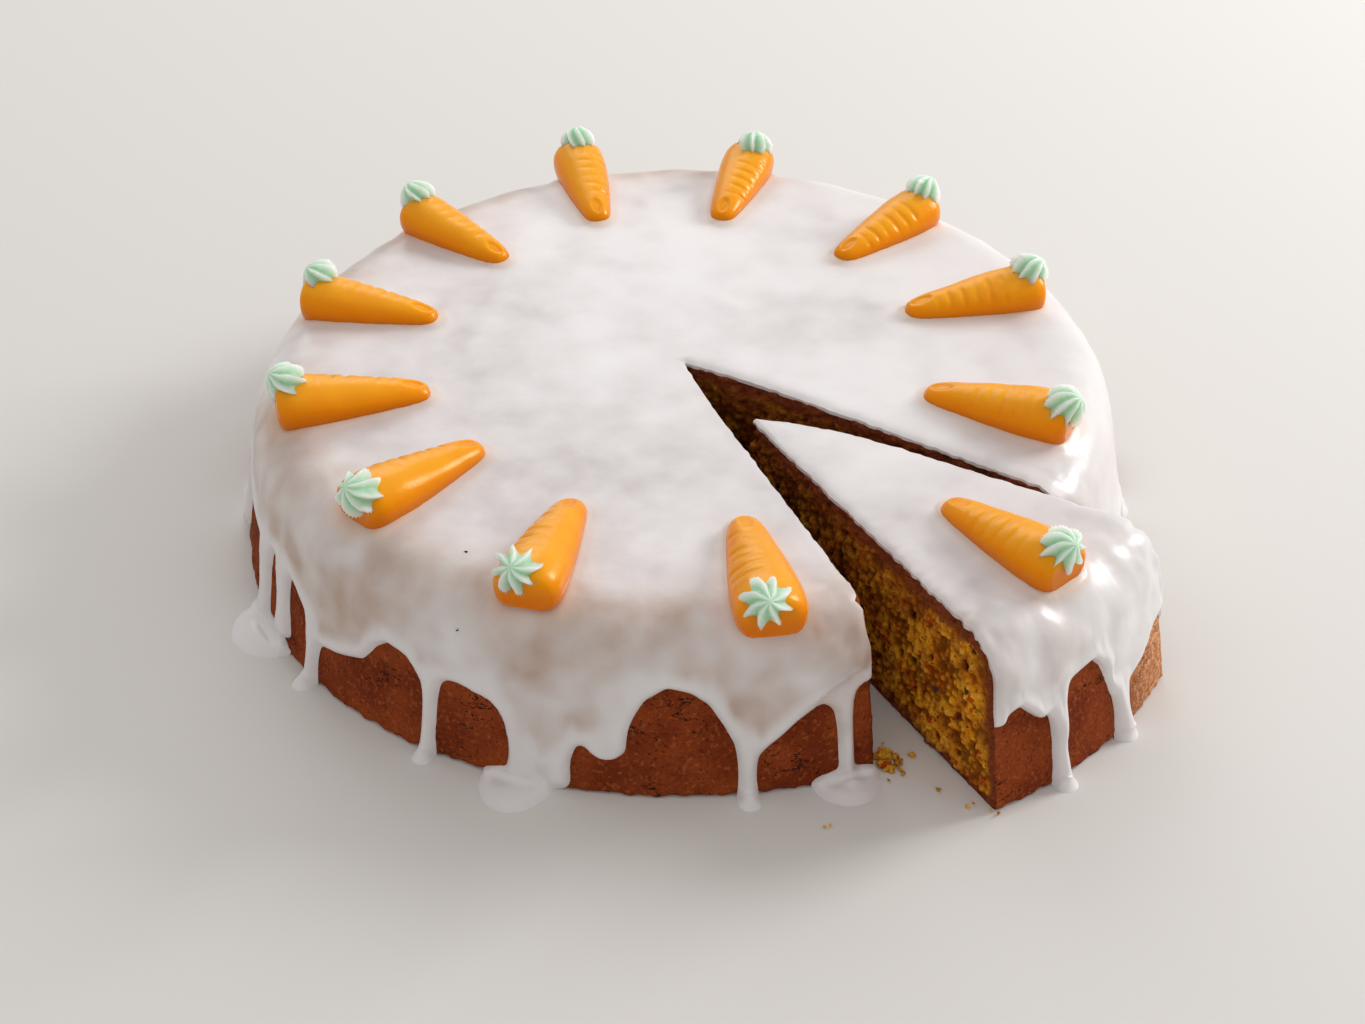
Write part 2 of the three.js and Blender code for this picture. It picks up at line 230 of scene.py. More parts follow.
def sponge_relief(points, cut):
    """How far the surface stands out, how much each point is in a hole and on a nut, and how much painted
    light it takes, from painted shade in hollows to painted light on lumps.
    """
    flat = points.reshape(-1, 3)
    on_cut = cut.ravel() > 0
    crumb, crust = flat[on_cut], flat[~on_cut]
    stands, hole, nut = (np.zeros(len(flat)) for _ in range(3))
    hole[on_cut], hole[~on_cut] = spots(crumb, *HOLES), spots(crust, *PITS)
    nut[on_cut] = np.minimum(spots(crumb + NUTS_OFF, *NUTS) * NUT_STEEP, 1)
    stands[on_cut] = NUT_STANDS * nut[on_cut] - HOLE_DEPTH * hole[on_cut] ** HOLE_ROUND
    stands[on_cut] += CRUMB_SWELL * swell(crumb, BROAD)
    for size, high, middle in CRUMB_LUMPS:
        away = np.array([noise.voronoi(p)[0][0] for p in (crumb / size).tolist()])
        stands[on_cut] += high * (middle - away)
    at_foot = 1 - smooth_step(crust[:, 2], *ROUGH_FOOT)
    stands[~on_cut] = -PIT_DEPTH * hole[~on_cut] ** PIT_ROUND
    for size, high, more in CRUST_SWELLS:
        stands[~on_cut] += (high + more * at_foot) * swell(crust, size)
    lit = np.where(on_cut, smooth_step(stands, *LIT), 0)
    return (x.reshape(cut.shape) for x in (stands, hole, nut, lit))


def band_normals(points):
    """Outward direction at each point of a band of columns that closes on itself."""
    round_the_band = np.roll(points, -1, 0) - np.roll(points, 1, 0)
    upward = np.gradient(points, axis=1)
    normal = np.cross(round_the_band, upward)
    return normal / np.linalg.norm(normal, axis=2, keepdims=True)


SPONGE_VALUES = ("cut", "skin", "hole", "nut", "lit", "middle", "window_light")


def make_sponge(name, on_slice, lines, wall_columns, cut_columns, rows, material):
    points, cut, skin = sponge_grid(*lines, wall_columns, cut_columns, rows)
    # Painted shade, deeper toward the middle; painted light on the slice, paler where it faces the window.
    middle = 1 - smooth_step(np.hypot(points[..., 0], points[..., 1]), *SHADED_MIDDLE)
    to_window = np.cos(np.arctan2(points[..., 1], points[..., 0]) - WINDOW_SIDE)
    window_light = on_slice * smooth_step(to_window, *WINDOW_LIT_SPAN)
    stands, hole, nut, lit = sponge_relief(points, cut)
    stands[:, 0] = stands[:, -1] = 0
    points = points + band_normals(points) * stands[..., None]
    points[..., 2] = np.clip(points[..., 2], 0, SPONGE_HEIGHT)
    count = len(points)
    place = np.arange(count * rows).reshape(count, rows)
    right, up = np.roll(place, -1, 0), np.arange(rows - 1)
    quads = np.stack([place[:, up], right[:, up], right[:, up + 1], place[:, up + 1]], -1)
    faces = quads.reshape(-1, 4).tolist() + [place[:, -1].tolist(), place[::-1, 0].tolist()]
    values = dict(zip(SPONGE_VALUES, (cut, skin * MM, hole, nut, lit, middle, window_light)))
    return new_piece(name, to_metres(points.reshape(-1, 3), on_slice), faces, values, material)


def to_linear(code):
    """An sRGB hex colour as linear red, green, blue and alpha."""
    parts = [int(code[i:i + 2], 16) / 255 for i in (1, 3, 5)]
    return tuple(c / 12.92 if c <= 0.04045 else ((c + 0.055) / 1.055) ** 2.4 for c in parts) + (1.0,)


# Kinds of nodes, and how a range sets in.
MATHS = "ShaderNodeMath"
NOISE = "ShaderNodeTexNoise"
RANGE = "ShaderNodeMapRange"
MIX = "ShaderNodeMixRGB"
VALUE = "ShaderNodeAttribute"
PLACE = "ShaderNodeTexCoord"
BUMP = "ShaderNodeBump"
SHADER = "ShaderNodeBsdfPrincipled"
SURFACE = "ShaderNodeOutputMaterial"
SMOOTH = "SMOOTHSTEP"
EVEN = "LINEAR"


def add(tree, kind, inputs, output=0, curve=(), **settings):
    """Adds a node with its settings and its inputs, each a value or a link, and gives one of its outputs.

    Inputs are a list in order, or go by name. A curve node also takes the points of its curve."""
    node = tree.nodes.new(kind)
    for key, value in settings.items():
        setattr(node, key, value)
    for key, value in inputs.items() if isinstance(inputs, dict) else enumerate(inputs):
        if isinstance(value, bpy.types.NodeSocket):
            tree.links.new(value, node.inputs[key])
        else:
            node.inputs[key].default_value = value
    if curve:
        points = node.mapping.curves[0].points
        points[0].location, points[1].location = curve[0], curve[-1]
        for point in curve[1:-1]:
            points.new(*point)
        node.mapping.update()
    return node.outputs[output] if len(node.outputs) else None


def new_material(name):
    material = bpy.data.materials.new(name)
    material.use_nodes = True
    material.node_tree.nodes.clear()
    return material


def finish_material(tree, colour, finish, normal=None):
    """Ends a material's tree: a shader of this colour and finish, and the way its surface is turned."""
    turned = {} if normal is None else {"Normal": normal}
    shader = add(tree, SHADER, {"Base Color": colour, **finish, **turned})
    add(tree, SURFACE, {"Surface": shader})


def per_metre(size):
    """Scale of a pattern whose features are this many millimetres."""
    return 1 / (size * MM)


# Sizes of the grain, and of the blotches in crust and crumb.
SPONGE_GRAIN = 0.9
FINE_GRAIN = 0.5
CRACKED_BLOTCH = 26
BROWN_BLOTCH = 5
BROWN_PATCH = 4
BLOTCHES = (1.3, 1.6, 3.1, 7, 13, 16, FINE_GRAIN, CRACKED_BLOTCH, BROWN_BLOTCH, BROWN_PATCH)
# Hairline cracks: their length, how flat they lie, how they open in their pattern, and in which patches.
CRACK_LENGTH = 15
CRACK_FLAT = (1.0, 1.0, 2.6)
CRACK_AT = 0.5
CRACK_WIDTH = 0.008
CRACKED_PATCHES = (0.5, 0.56)
# In metres: how unevenly the crust's brown goes into the crumb, and over which depths it ends.
CRUST_UNEVEN = 0.0065
CRUST_THICKER = -0.0016
CRUST_ENDS = (0.0004, 0.0022)
BROWN_ENDS = (0.009, 0.002)
BROWN_PATCHES = (0.3, 0.55)
# Colours, each a ground with layers over it: [what it follows, from, to, strength, colour, how it sets in].
# A layer follows a value, or blotches of a size, and its colour may be one from further up.
SPONGE_COLOURS = {
    "nut": ["#3f2018", ["grain", 0, 1, 1, "#6d4130", EVEN]],
    "browned": ["#662a12", ["grain", 0, 1, 1, "#a45a22", EVEN]],
    "under_crust": ["#54200f", ["grain", 0, 1, 1, "#a4542e", EVEN]],
    # The crust of the slice as painted light where it faces the window.
    "window_lit_crust": [
        "#c48458", [1.6, 0.4, 0.65, 1, "#eeb284", SMOOTH], ["grain", 0.42, 0.28, 1, "#6b3a20", SMOOTH],
    ],
    # On the crumb, lit paints the lumps that stand out lighter, as painted light, and the hollows between
    # them darker, as painted shade.
    "crumb": [
        "#d87c10", [7, 0.35, 0.65, 1, "#f8aa22", SMOOTH], ["lit", 0.5, 0.95, 0.6, "#ffc648", SMOOTH],
        [3.1, 0.58, 0.66, 1, "#c8520c", SMOOTH], ["grain", 0.41, 0.29, 1, "#46200a", SMOOTH],
        ["lit", 0.45, 0, 0.75, "#5e2806", SMOOTH], [13, 0.56, 0.34, 0.45, "#6a2e08", SMOOTH],
        # Holes are painted near black, as painted shade in them.
        ["nut", 0, 1, 1, "nut", EVEN], ["hole", 0.1, 0.6, 1, "#2a1204", SMOOTH],
        # The crumb is painted darker toward the middle, as painted shade.
        ["middle", 0, 1, 0.5, "#4c2008", EVEN], ["browned", 0, 1, 0.6, "browned", EVEN],
    ],
    "surface": [
        "#7a2f10", [16, 0.35, 0.65, 1, "#98441b", SMOOTH], [1.3, 0.5, 0.8, 1, "#ae5c2e", SMOOTH],
        # The slice's crust turns to the window-lit crust, as painted light.
        ["grain", 0.46, 0.25, 1, "#56230d", SMOOTH], ["window_light", 0, 1, 0.9, "window_lit_crust", EVEN],
        # Pits in the crust are painted dark, as painted shade in them.
        ["hole", 0.05, 0.5, 1, "#2e140a", SMOOTH], ["cracked", 0, 1, 1, "#2a120a", EVEN],
        ["cut", 0, 1, 1, "under_crust", EVEN], ["inside", 0, 1, 1, "crumb", EVEN],
    ],
}


# Baked sponge: outside a fine dry brown crust with a matt grain, hairline cracks and darker patches, with its
# pits painted dark as shade and the slice's crust painted paler toward the window as painted light. On the
# cuts a moist open crumb, golden and uneven, with dark nuts and orange carrot, browner under the crust; its
# lumps are painted lighter as painted light, its hollows and holes darker as painted shade, and it is painted
# darker toward the middle as painted shade.
def baked_sponge():
    material = new_material("baked_carrot_sponge")
    tree = material.node_tree
    place = add(tree, PLACE, [], "Object")
    value = {"grain": add(tree, NOISE, {"Vector": place, "Scale": per_metre(SPONGE_GRAIN), "Detail": 4.0})}
    for size in BLOTCHES:
        value[size] = add(tree, NOISE, {"Vector": place, "Scale": per_metre(size), "Detail": 3.0})
    for name in SPONGE_VALUES:
        value[name] = add(tree, VALUE, [], "Fac", attribute_name=name)

    flat = add(tree, "ShaderNodeMapping", {"Vector": place, "Scale": CRACK_FLAT})
    crack = {"Vector": flat, "Scale": per_metre(CRACK_LENGTH), "Detail": 4.0, "Roughness": 0.6}
    crack = add(tree, MATHS, [add(tree, NOISE, crack), CRACK_AT, CRACK_WIDTH], operation="COMPARE")
    brown = add(tree, MATHS, [value[BROWN_BLOTCH], CRUST_UNEVEN, CRUST_THICKER], operation="MULTIPLY_ADD")
    depth = add(tree, MATHS, [value["skin"], brown], operation="SUBTRACT")
    patches = add(tree, RANGE, [value[BROWN_PATCH], *BROWN_PATCHES], interpolation_type=SMOOTH)
    for name, follows, span, most in (
        ("cracked", value[CRACKED_BLOTCH], CRACKED_PATCHES, crack),
        ("inside", depth, CRUST_ENDS, value["cut"]),
        ("browned", depth, BROWN_ENDS, patches),
    ):
        value[name] = add(tree, RANGE, [follows, *span, 0.0, most], interpolation_type=SMOOTH)

    colours = {}
    for part, (ground, *layers) in SPONGE_COLOURS.items():
        colours[part] = to_linear(ground)
        for follows, low, high, most, tint, mixes in layers:
            share = add(tree, RANGE, [value[follows], low, high, 0.0, most], interpolation_type=mixes)
            over = colours[tint] if tint in colours else to_linear(tint)
            colours[part] = add(tree, MIX, [share, colours[part], over])

    rough = add(tree, MATHS, [value["grain"], value[FINE_GRAIN]], operation="ADD")
    bump = add(tree, BUMP, {"Strength": 0.8, "Distance": 0.8 * MM, "Height": rough})
    finish = {"Roughness": 0.85, "Specular IOR Level": 0.12}
    finish_material(tree, colours["surface"], finish, bump)
    return material


SPONGE_MATERIAL = baked_sponge()
# Columns of the mesh on the wall and on each cut, and rows.
CAKE_MESH = (800, 150, 62)
SLICE_MESH = (150, 250, 118)
cake_sponge = make_sponge("sponge_of_cake", False, (NOTCH_RIGHT, NOTCH_LEFT), *CAKE_MESH, SPONGE_MATERIAL)
slice_sponge = make_sponge("sponge_of_slice", True, (SLICE_LEFT, SLICE_RIGHT), *SLICE_MESH, SPONGE_MATERIAL)
for sponge, node in ((cake_sponge, "cake_sponge"), (slice_sponge, "slice_sponge")):
    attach(sponge, "root")
    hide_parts(node)

# The icing: sugar stirred with lemon juice to a thick glaze, poured on the middle and left to run. It is an
# even coat on top, thin over the shoulder, and ends on the side in drips with round beads. Some drips reach
# the floor and set there in small feet and puddles. The knife cut it together with the sponge.
# How thick it is on top, on the wall and at least, and how it eases over the shoulder, fills the corner at
# the foot, and reaches into the sponge where it doesn't lie on the floor.
ICING_TOP = 1.8
ICING_WALL = 1.1
ICING_LEAST = 0.4
SHOULDER_EASE = 8
FOOT_FILLET = 4.6
IN_SPONGE = 0.25
OFF_FLOOR = 1
FLOOR = 0.0
# A drip: its neck and flares as parts of its width, the lengths over which it flares at its end and at the
# curtain, how its ridge sets in where it leaves the curtain, its bead, and a foot's reach on the floor.
DRIP_NECK = 0.8
DRIP_FLARE = 0.3
END_FLARE = 4.5
TOP_FLARE = 5
DRIP_RIDGE = 0.7
RIDGE_ROUND = 0.7
RIDGE_UNDER = 0.1
LEAVES_CURTAIN = [-5, 2]
DRIP_BEAD = 0.5
BEAD_LENGTH = 5
FOOT_REACH = [0.3, 2.0]
FOOT_CHANCE = 0.618
# The edge: the web between forms that meet, the bead along it, and how it rounds off.
WEB = 3.0
PUDDLE_WEB = 2
EDGE_BEAD = 0.55
BEAD_AT = 2.2
BEAD_WIDE = 1.7
EDGE_ROUND = 2.1
PUDDLE_SWELL = 1.3
PUDDLE_RISE = 7
PUDDLE_CLIMB = 2.5
PUDDLE_EDGE = 5.5
PUDDLE_FLAT = 0.7
# At the cuts: how ragged and how torn the icing is, and how far in it thins.
RAGGED = 0.5
RAGGED_WALL = 1.8
TORN = 1.5
TORN_REACH = 9
CUT_THIN = 0.55
CUT_REACH = 1.6
CUT_WAVY = 0.25
# Icing drawn up round the carrots, and their colour that bleeds into it.
MENISCUS = 1.2
MENISCUS_REACH = 1.2
BLEED_REACH = 1.6
# Broad and fine waves, and lumps: on the top, and what the side adds.
BROAD_WAVE = [0.1, 0.1]
FINE_WAVE = [0.03, 0.08]
LUMP_STANDS = 1.1
# Lengths down from where the shoulder starts over which something sets in: [from, to].
WAVES_SET_IN = [-4, 16]
WALL_SETS_IN = [14, 30]
SHOULDER_SETS_IN = [-16, 10]
LUMPS_SET_IN = [-18, 2]
TEARS_SET_IN = [-8, 6]
TOP_ENDS = [0, 16]
FLOOR_SETS_IN = [-4, 3]
RAGGED_SETS_IN = [-4, 6]
# Patterns in the icing: [how far off in the noise it is taken, its size].
PATTERNS = {
    "broad": [0, 21], "fine": [300, 7], "lump": [70, 12], "bump": [170, 6],
    "tear": [330, 7], "small_tear": [830, 3.2], "wavy": [520, 3],
    "cloud": [900, 42], "wisp": [400, 14], "fleck": [450, 9], "patch": [610, 17], "dab": [240, 6],
}
# Streaks that run down the side: [their width, their length].
STREAK = [11, 34]
LUMP_SPAN = [-0.5, 0.5]
BUMP_SHARE = 0.3
SMALL_TEAR_SHARE = 0.5
# How much lumpy icing hides tears and thin places.
LUMPS_HIDE = 0.6
# Smudges on top, partly painted shade: how much each pattern and the painted shade of the shaded side count,
# where clouds and flecks of them start and end, their strength, what the shoulder takes from it, and the
# painted shade a tear adds in its dents.
CLOUDS = {"cloud": 0.7, "wisp": 0.45, "fine": 0.2}
SHADE_SHARE = 0.5
SHADE_STARTS = 0.25
SHADE_SIDE = 3 * WINDOW_SIDE
CLOUD_SPAN = [-0.5, 0.6]
CLOUD_STRENGTH = 0.8
FLECK_SPAN = [0.3, 1.0]
FLECK_STRENGTH = 0.3
FLECK_IN_CLOUD = 0.8
SMUDGE = [0.2, 0.65]
SHOULDER_CLEARS = 0.7
TEAR_SPAN = [0.0, 0.5]
TEAR_STRENGTH = 0.9
# Thin places on the side: their base, how patchy and streaky they are, and what covers them: drips, the bead
# along the edge and the foot; and how far they are left off the side to the window, as painted light.
THIN = 0.7
THIN_PATCHY = 0.8
DAB_SHARE = 0.4
THIN_STREAKY = 0.45
DRIP_COVERS = 0.8
DRIP_COVER_WIDE = 1.6
EDGE_COVERS = [2.2, 7]
FOOT_COVERS = [-14, -4]
WINDOW_LIGHTENS = 0.85
WINDOW_SPAN = [0.2, 0.75]

# Drips: [angle in degrees, width, height of the end, sideways lean in degrees from top to end].
DRIPS = [
    [-177, 15, FLOOR, 0], [-156, 8.5, FLOOR, 1.4], [-149.6, 7.5, 3.5, 2.0], [-141.3, 6.0, FLOOR, 0.2],
    [-121.4, 5.4, FLOOR, 0], [-109.4, 8.2, FLOOR, 0.3], [-104.7, 5.2, 0.8, 0.2], [-99.2, 8.2, 11, 0.5],
    [-82.9, 5.8, FLOOR, 0.2], [-71, 5.4, FLOOR, 0], [-66.0, 3.6, 26, 0],
    [-57, 6, FLOOR, 0], [-45.5, 6.6, FLOOR, 0.3],
    [-28, 12, FLOOR, 0], [-16, 17, FLOOR, 0], [-3, 15, FLOOR, 0],
]
# The curtain's edge between the drips: [angle in degrees, height].
CURTAIN = [
    [-177, 30], [-170, 26], [-163, 24], [-158.5, 22], [-150, 26.5], [-146, 24], [-142.5, 19], [-139.5, 13.5],
    [-135.5, 15.5], [-131.9, 18.5], [-129.6, 25], [-127.8, 28], [-125, 26.5], [-123, 22], [-119.5, 24],
    [-117.7, 24.5], [-113.4, 22.3], [-111, 17], [-107, 5], [-106.3, 5.4], [-104, 10], [-102.7, 14],
    [-100, 16], [-97, 20], [-94.8, 29], [-92.1, 33], [-89.3, 31.4], [-87.2, 28], [-84.8, 19], [-81.2, 13],
    [-79, 16.5], [-76.9, 20.5], [-74, 24.6], [-72, 23], [-69.5, 27], [-66.8, 29], [-65.1, 28],
    [-63.1, 29.2], [-60, 22.5], [-57, 24], [-54.9, 28.9], [-51.2, 31], [-49.4, 26.8], [-47.4, 16],
    [-43.6, 15.5], [-41.3, 18], [-38.5, 22], [-34.4, 26], [-33.4, 14], [-28, 9], [-22, 7], [-16, 6],
    [-9, 8], [-3, 7], [4, 12],
]
EDGE_BLUR = 2.2
EDGE_BLUR_STEPS = 9
# The side turned from the window light, drawn by chance: [lowest, what chance adds].
FAR_SEED = 21
FAR_COUNT = 12
FAR_FIRST = 11
FAR_STEP = 13.4
FAR_WANDER = [-1.5, 3]
FAR_WIDTH = [6, 4]
FAR_TO_FLOOR = 0.6
FAR_END = [0.6, 10]
FAR_ARCH = [19, 10]
FAR_PEAK = [0.4, 0.2]
FAR_LEAN = [-0.6, 1.2]
FAR_BESIDE = 6
FAR_PUDDLES = [1, 6]
# Where the icing ran on in a sheet after a drip of the far side: its number, and the sheet's height.
FAR_SHEETS = {2: 8, 5: 12, 8: 6, 9: 10}
# Puddles: [angle in degrees, length along the foot, reach from the axis].
PUDDLES = [[177, 16, 134.2], [-152.4, 26, 141], [-109.6, 20, 142], [-71.2, 19, 140]]
FAR_PUDDLE = [23, 136]
# A second run of icing that set over the first beside the notch: its lower lip as [angle in degrees, height].
FOLD = [(-78, 23.6), (-76, 25.5), (-72.8, 29.2), (-69.3, 32.6), (-68, 33.2)]
FOLD_STARTS = 4
FOLD_ENDS = 1
FOLD_LIP = 1.2
FOLD_ROLL = 6
LIP_SPAN = [-0.5, 0.4]
UNDER_FOLD = 13
UNDER_SPAN = [-0.2, 1]
FOLD_THIN_AND_SHADE = 0.5
DENT_AT = (-70.4, 40.5)
DENT_SIZE = 2.6
DENT_DEPTH = 1.3
DENT_THIN_AND_SHADE = 0.6
# The rule that chance is drawn by.
DRAW_TIMES = 1103515245.0
DRAW_PLUS = 12345.0
DRAW_SPAN = 2147483648.0


def far_side():
    """Drips, the curtain's edge and puddles of the far side."""
    state = float(FAR_SEED)

    def draw(span):
        nonlocal state
        state = (state * DRAW_TIMES + DRAW_PLUS) % DRAW_SPAN
        return span[0] + span[1] * state / DRAW_SPAN

    drips, edge, puddles = [], [], []
    for i in range(FAR_COUNT):
        middle = FAR_FIRST + FAR_STEP * i + draw(FAR_WANDER)
        width = draw(FAR_WIDTH)
        end = FLOOR if draw([0, 1]) < FAR_TO_FLOOR else draw(FAR_END)
        arch, peak = draw(FAR_ARCH), draw(FAR_PEAK)
        if i in FAR_PUDDLES:
            end = FLOOR
            puddles.append([middle, *FAR_PUDDLE])
        drips.append([middle, width, end, draw(FAR_LEAN)])
        arch = FAR_SHEETS.get(i, arch)
        edge += [[middle, arch - FAR_BESIDE], [middle + FAR_STEP * peak, arch]]
    return drips, edge, puddles


far_drips, far_edge, far_puddles = far_side()
SLICE_SPAN = (-67, -34)
slice_drips = [drip for drip in DRIPS if SLICE_SPAN[0] < drip[0] < SLICE_SPAN[1]]
cake_drips = [drip for drip in DRIPS + far_drips if drip not in slice_drips]
cake_puddles = PUDDLES + far_puddles
EDGE_TABLE = np.radians(np.arange(-180, 180, 0.1))


def length_at(height):
    """Length down the side from where the shoulder starts, at a height on the wall."""
    return SHOULDER_ARC + (WALL_TOP_Z - height) / math.cos(SIDE_LEAN)


def edge_table():
    """The curtain's edge as lengths down the side, and its slope, round the whole cake."""
    points = np.array(sorted(CURTAIN + far_edge))
    height = np.interp(np.degrees(EDGE_TABLE), points[:, 0], points[:, 1], period=360)
    blur = np.exp(-np.linspace(-EDGE_BLUR, EDGE_BLUR, 2 * EDGE_BLUR_STEPS + 1) ** 2)
    padded = np.concatenate([height[-EDGE_BLUR_STEPS:], height, height[:EDGE_BLUR_STEPS]])
    length = length_at(np.convolve(padded, blur / blur.sum(), "valid"))
    slope = np.gradient(length, (EDGE_TABLE[1] - EDGE_TABLE[0]) * FOOT_RADIUS)
    return length, slope


EDGE_LENGTH, EDGE_SLOPE = edge_table()
FILLET_TURN = math.pi / 2 - SIDE_LEAN
FILLET_TANGENT = FOOT_FILLET * math.tan(FILLET_TURN / 2)
FILLET_START = FOOT_LENGTH - FILLET_TANGENT
FLOOR_START = FILLET_START + FOOT_FILLET * FILLET_TURN


def meridian(length):
    """What the icing lies on, at a length down from the start of the shoulder and on over the floor.

    Gives the radius and height there, the direction off it, and the way from there to the foot's round."""
    r, z, slope = side_point(np.minimum(length, FILLET_START))
    turned = np.clip((length - FILLET_START) / (FLOOR_START - FILLET_START), 0, 1)
    slope = slope + FILLET_TURN * turned
    from_corner = FILLET_TANGENT * (2 * turned - 1)
    on_wall = (length > FILLET_START) & (turned <= 0.5)
    on_floor = turned > 0.5
    r = np.where(on_wall, FOOT_RADIUS + from_corner * math.sin(SIDE_LEAN), r)
    z = np.where(on_wall, -from_corner * math.cos(SIDE_LEAN), z)
    beyond = np.maximum(length - FLOOR_START, 0)
    r = np.where(on_floor, FOOT_RADIUS + from_corner + beyond, r)
    z = np.where(on_floor, 0, z)
    start_r, start_z, _ = side_point(FILLET_START)
    middle_r = start_r + FOOT_FILLET * math.cos(SIDE_LEAN)
    middle_z = start_z + FOOT_FILLET * math.sin(SIDE_LEAN)
    in_fillet = (turned > 0) & (turned < 1)
    lift_r = np.where(in_fillet, middle_r - FOOT_FILLET * np.cos(slope) - r, 0)
    lift_z = np.where(in_fillet, middle_z - FOOT_FILLET * np.sin(slope) - z, 0)
    return r, z, slope, lift_r, lift_z


def joined(a, b, web):
    """Two depths inside a form as one, with a web of this size where the forms meet."""
    near = np.maximum(web - np.abs(a - b), 0) / web
    return np.maximum(a, b) + near * near * web / 4


def icing_depth(angle, length, drips, puddles):
    """How far a place is inside the icing's edge, how much it is on a drip, and how near a drip's end."""
    r = meridian(length)[0]
    row = np.interp(angle, EDGE_TABLE, EDGE_LENGTH, period=2 * np.pi)
    slope = np.interp(angle, EDGE_TABLE, EDGE_SLOPE, period=2 * np.pi)
    depth = (row - length) / np.sqrt(1 + slope * slope)
    out_of_curtain = smooth_step(-depth, *LEAVES_CURTAIN)
    ridge, bead = np.zeros_like(depth), np.zeros_like(depth)
    for i, (middle, width, end, lean) in enumerate(drips):
        on_floor = FLOOR_START + FOOT_REACH[0] + FOOT_REACH[1] * ((i * FOOT_CHANCE) % 1)
        run = on_floor if end == FLOOR else length_at(end)
        down = np.clip((length - SHOULDER_ARC) / (run - SHOULDER_ARC), 0, 1)
        off = angle - math.radians(middle) - math.radians(lean) * (down - 0.5)
        aside = ((off + np.pi) % (2 * np.pi) - np.pi) * r
        from_end = length - (run - width / 2)
        from_curtain = np.maximum(length - row, 0)
        flare = np.exp(-(from_end / END_FLARE) ** 2) + np.exp(-(from_curtain / TOP_FLARE) ** 2)
        wide = width / 2 * (DRIP_NECK + DRIP_FLARE * flare)
        drip = wide - np.hypot(aside, np.maximum(from_end, 0))
        depth = joined(depth, drip, WEB)
        across = np.clip(drip / (width / 2), 0, 1)
        ridge = np.maximum(ridge, across * (RIDGE_UNDER + (1 - RIDGE_UNDER) * out_of_curtain))
        bead = np.maximum(bead, across * np.exp(-(np.maximum(-from_end, 0) / BEAD_LENGTH) ** 2))
    for middle, long, reach in puddles:
        aside = ((angle - math.radians(middle) + np.pi) % (2 * np.pi) - np.pi) * r
        from_foot = length - FLOOR_START + FILLET_TANGENT
        out = reach - FOOT_RADIUS
        from_middle = np.where(from_foot > 0, from_foot / out, from_foot / PUDDLE_CLIMB)
        oval = np.hypot(aside / (long / 2), from_middle)
        depth = joined(depth, (1 - oval) * min(long / 2, out), PUDDLE_WEB)
    return depth, ridge, bead


CARROT_LENGTH = 41
CARROT_CROWN = 8.5
# Outline of a carrot from above: [part of its length from the tip, part of its greatest radius].
CARROT_OUTLINE = [
    (0, 0.04), (0.012, 0.25), (0.045, 0.42), (0.1, 0.52), (0.3, 0.7), (0.55, 0.88), (0.8, 1.0), (0.9, 0.99),
    (0.95, 0.93), (0.985, 0.82), (1, 0.68),
]
# Carrots: [angle of the tip in degrees, its distance from the axis, turn off the radius in degrees, size].
CARROTS = [
    [108.7, 82.2, -6, 0.97], [81.5, 79, -8, 0.97], [48.8, 72.6, -5, 0.98], [19.6, 70.2, -6, 1.02],
    [-15.4, 70.8, -10.6, 1.06], [-48.9, 72.1, -6.2, 1.05], [-79.1, 80.2, -2.1, 1.12], [-112.6, 76, 7.5, 1.08],
    [-141.5, 71.4, 7.3, 1.09], [-166.3, 74, 0.3, 1.06], [163.8, 76, 4.3, 0.99], [135.4, 77, 4, 0.97],
]
SLICE_CARROT = 5
# The part of a carrot's length that lies on the icing, and how much blunter its foot is at the crown.
CARROT_LIES = [0.08, 0.94]
CROWN_BLUNT = 2.2


def from_carrots(points):
    """Distance outside the nearest carrot's foot."""
    nearest = np.full(len(points), np.inf)
    for angle, distance, turn, size in CARROTS:
        heading = math.radians(angle + turn)
        dx = points[:, 0] - distance * math.cos(math.radians(angle))
        dy = points[:, 1] - distance * math.sin(math.radians(angle))
        along = dx * math.cos(heading) + dy * math.sin(heading)
        share = np.clip(along / (size * CARROT_LENGTH), *CARROT_LIES)
        beyond = along - share * size * CARROT_LENGTH
        across = dx * math.sin(heading) - dy * math.cos(heading)
        foot = np.interp(share, *zip(*CARROT_OUTLINE)) * CARROT_CROWN * size
        blunt = np.where(beyond > 0, CROWN_BLUNT, 1.0)
        nearest = np.minimum(nearest, np.hypot(across, blunt * beyond) - foot)
    return nearest


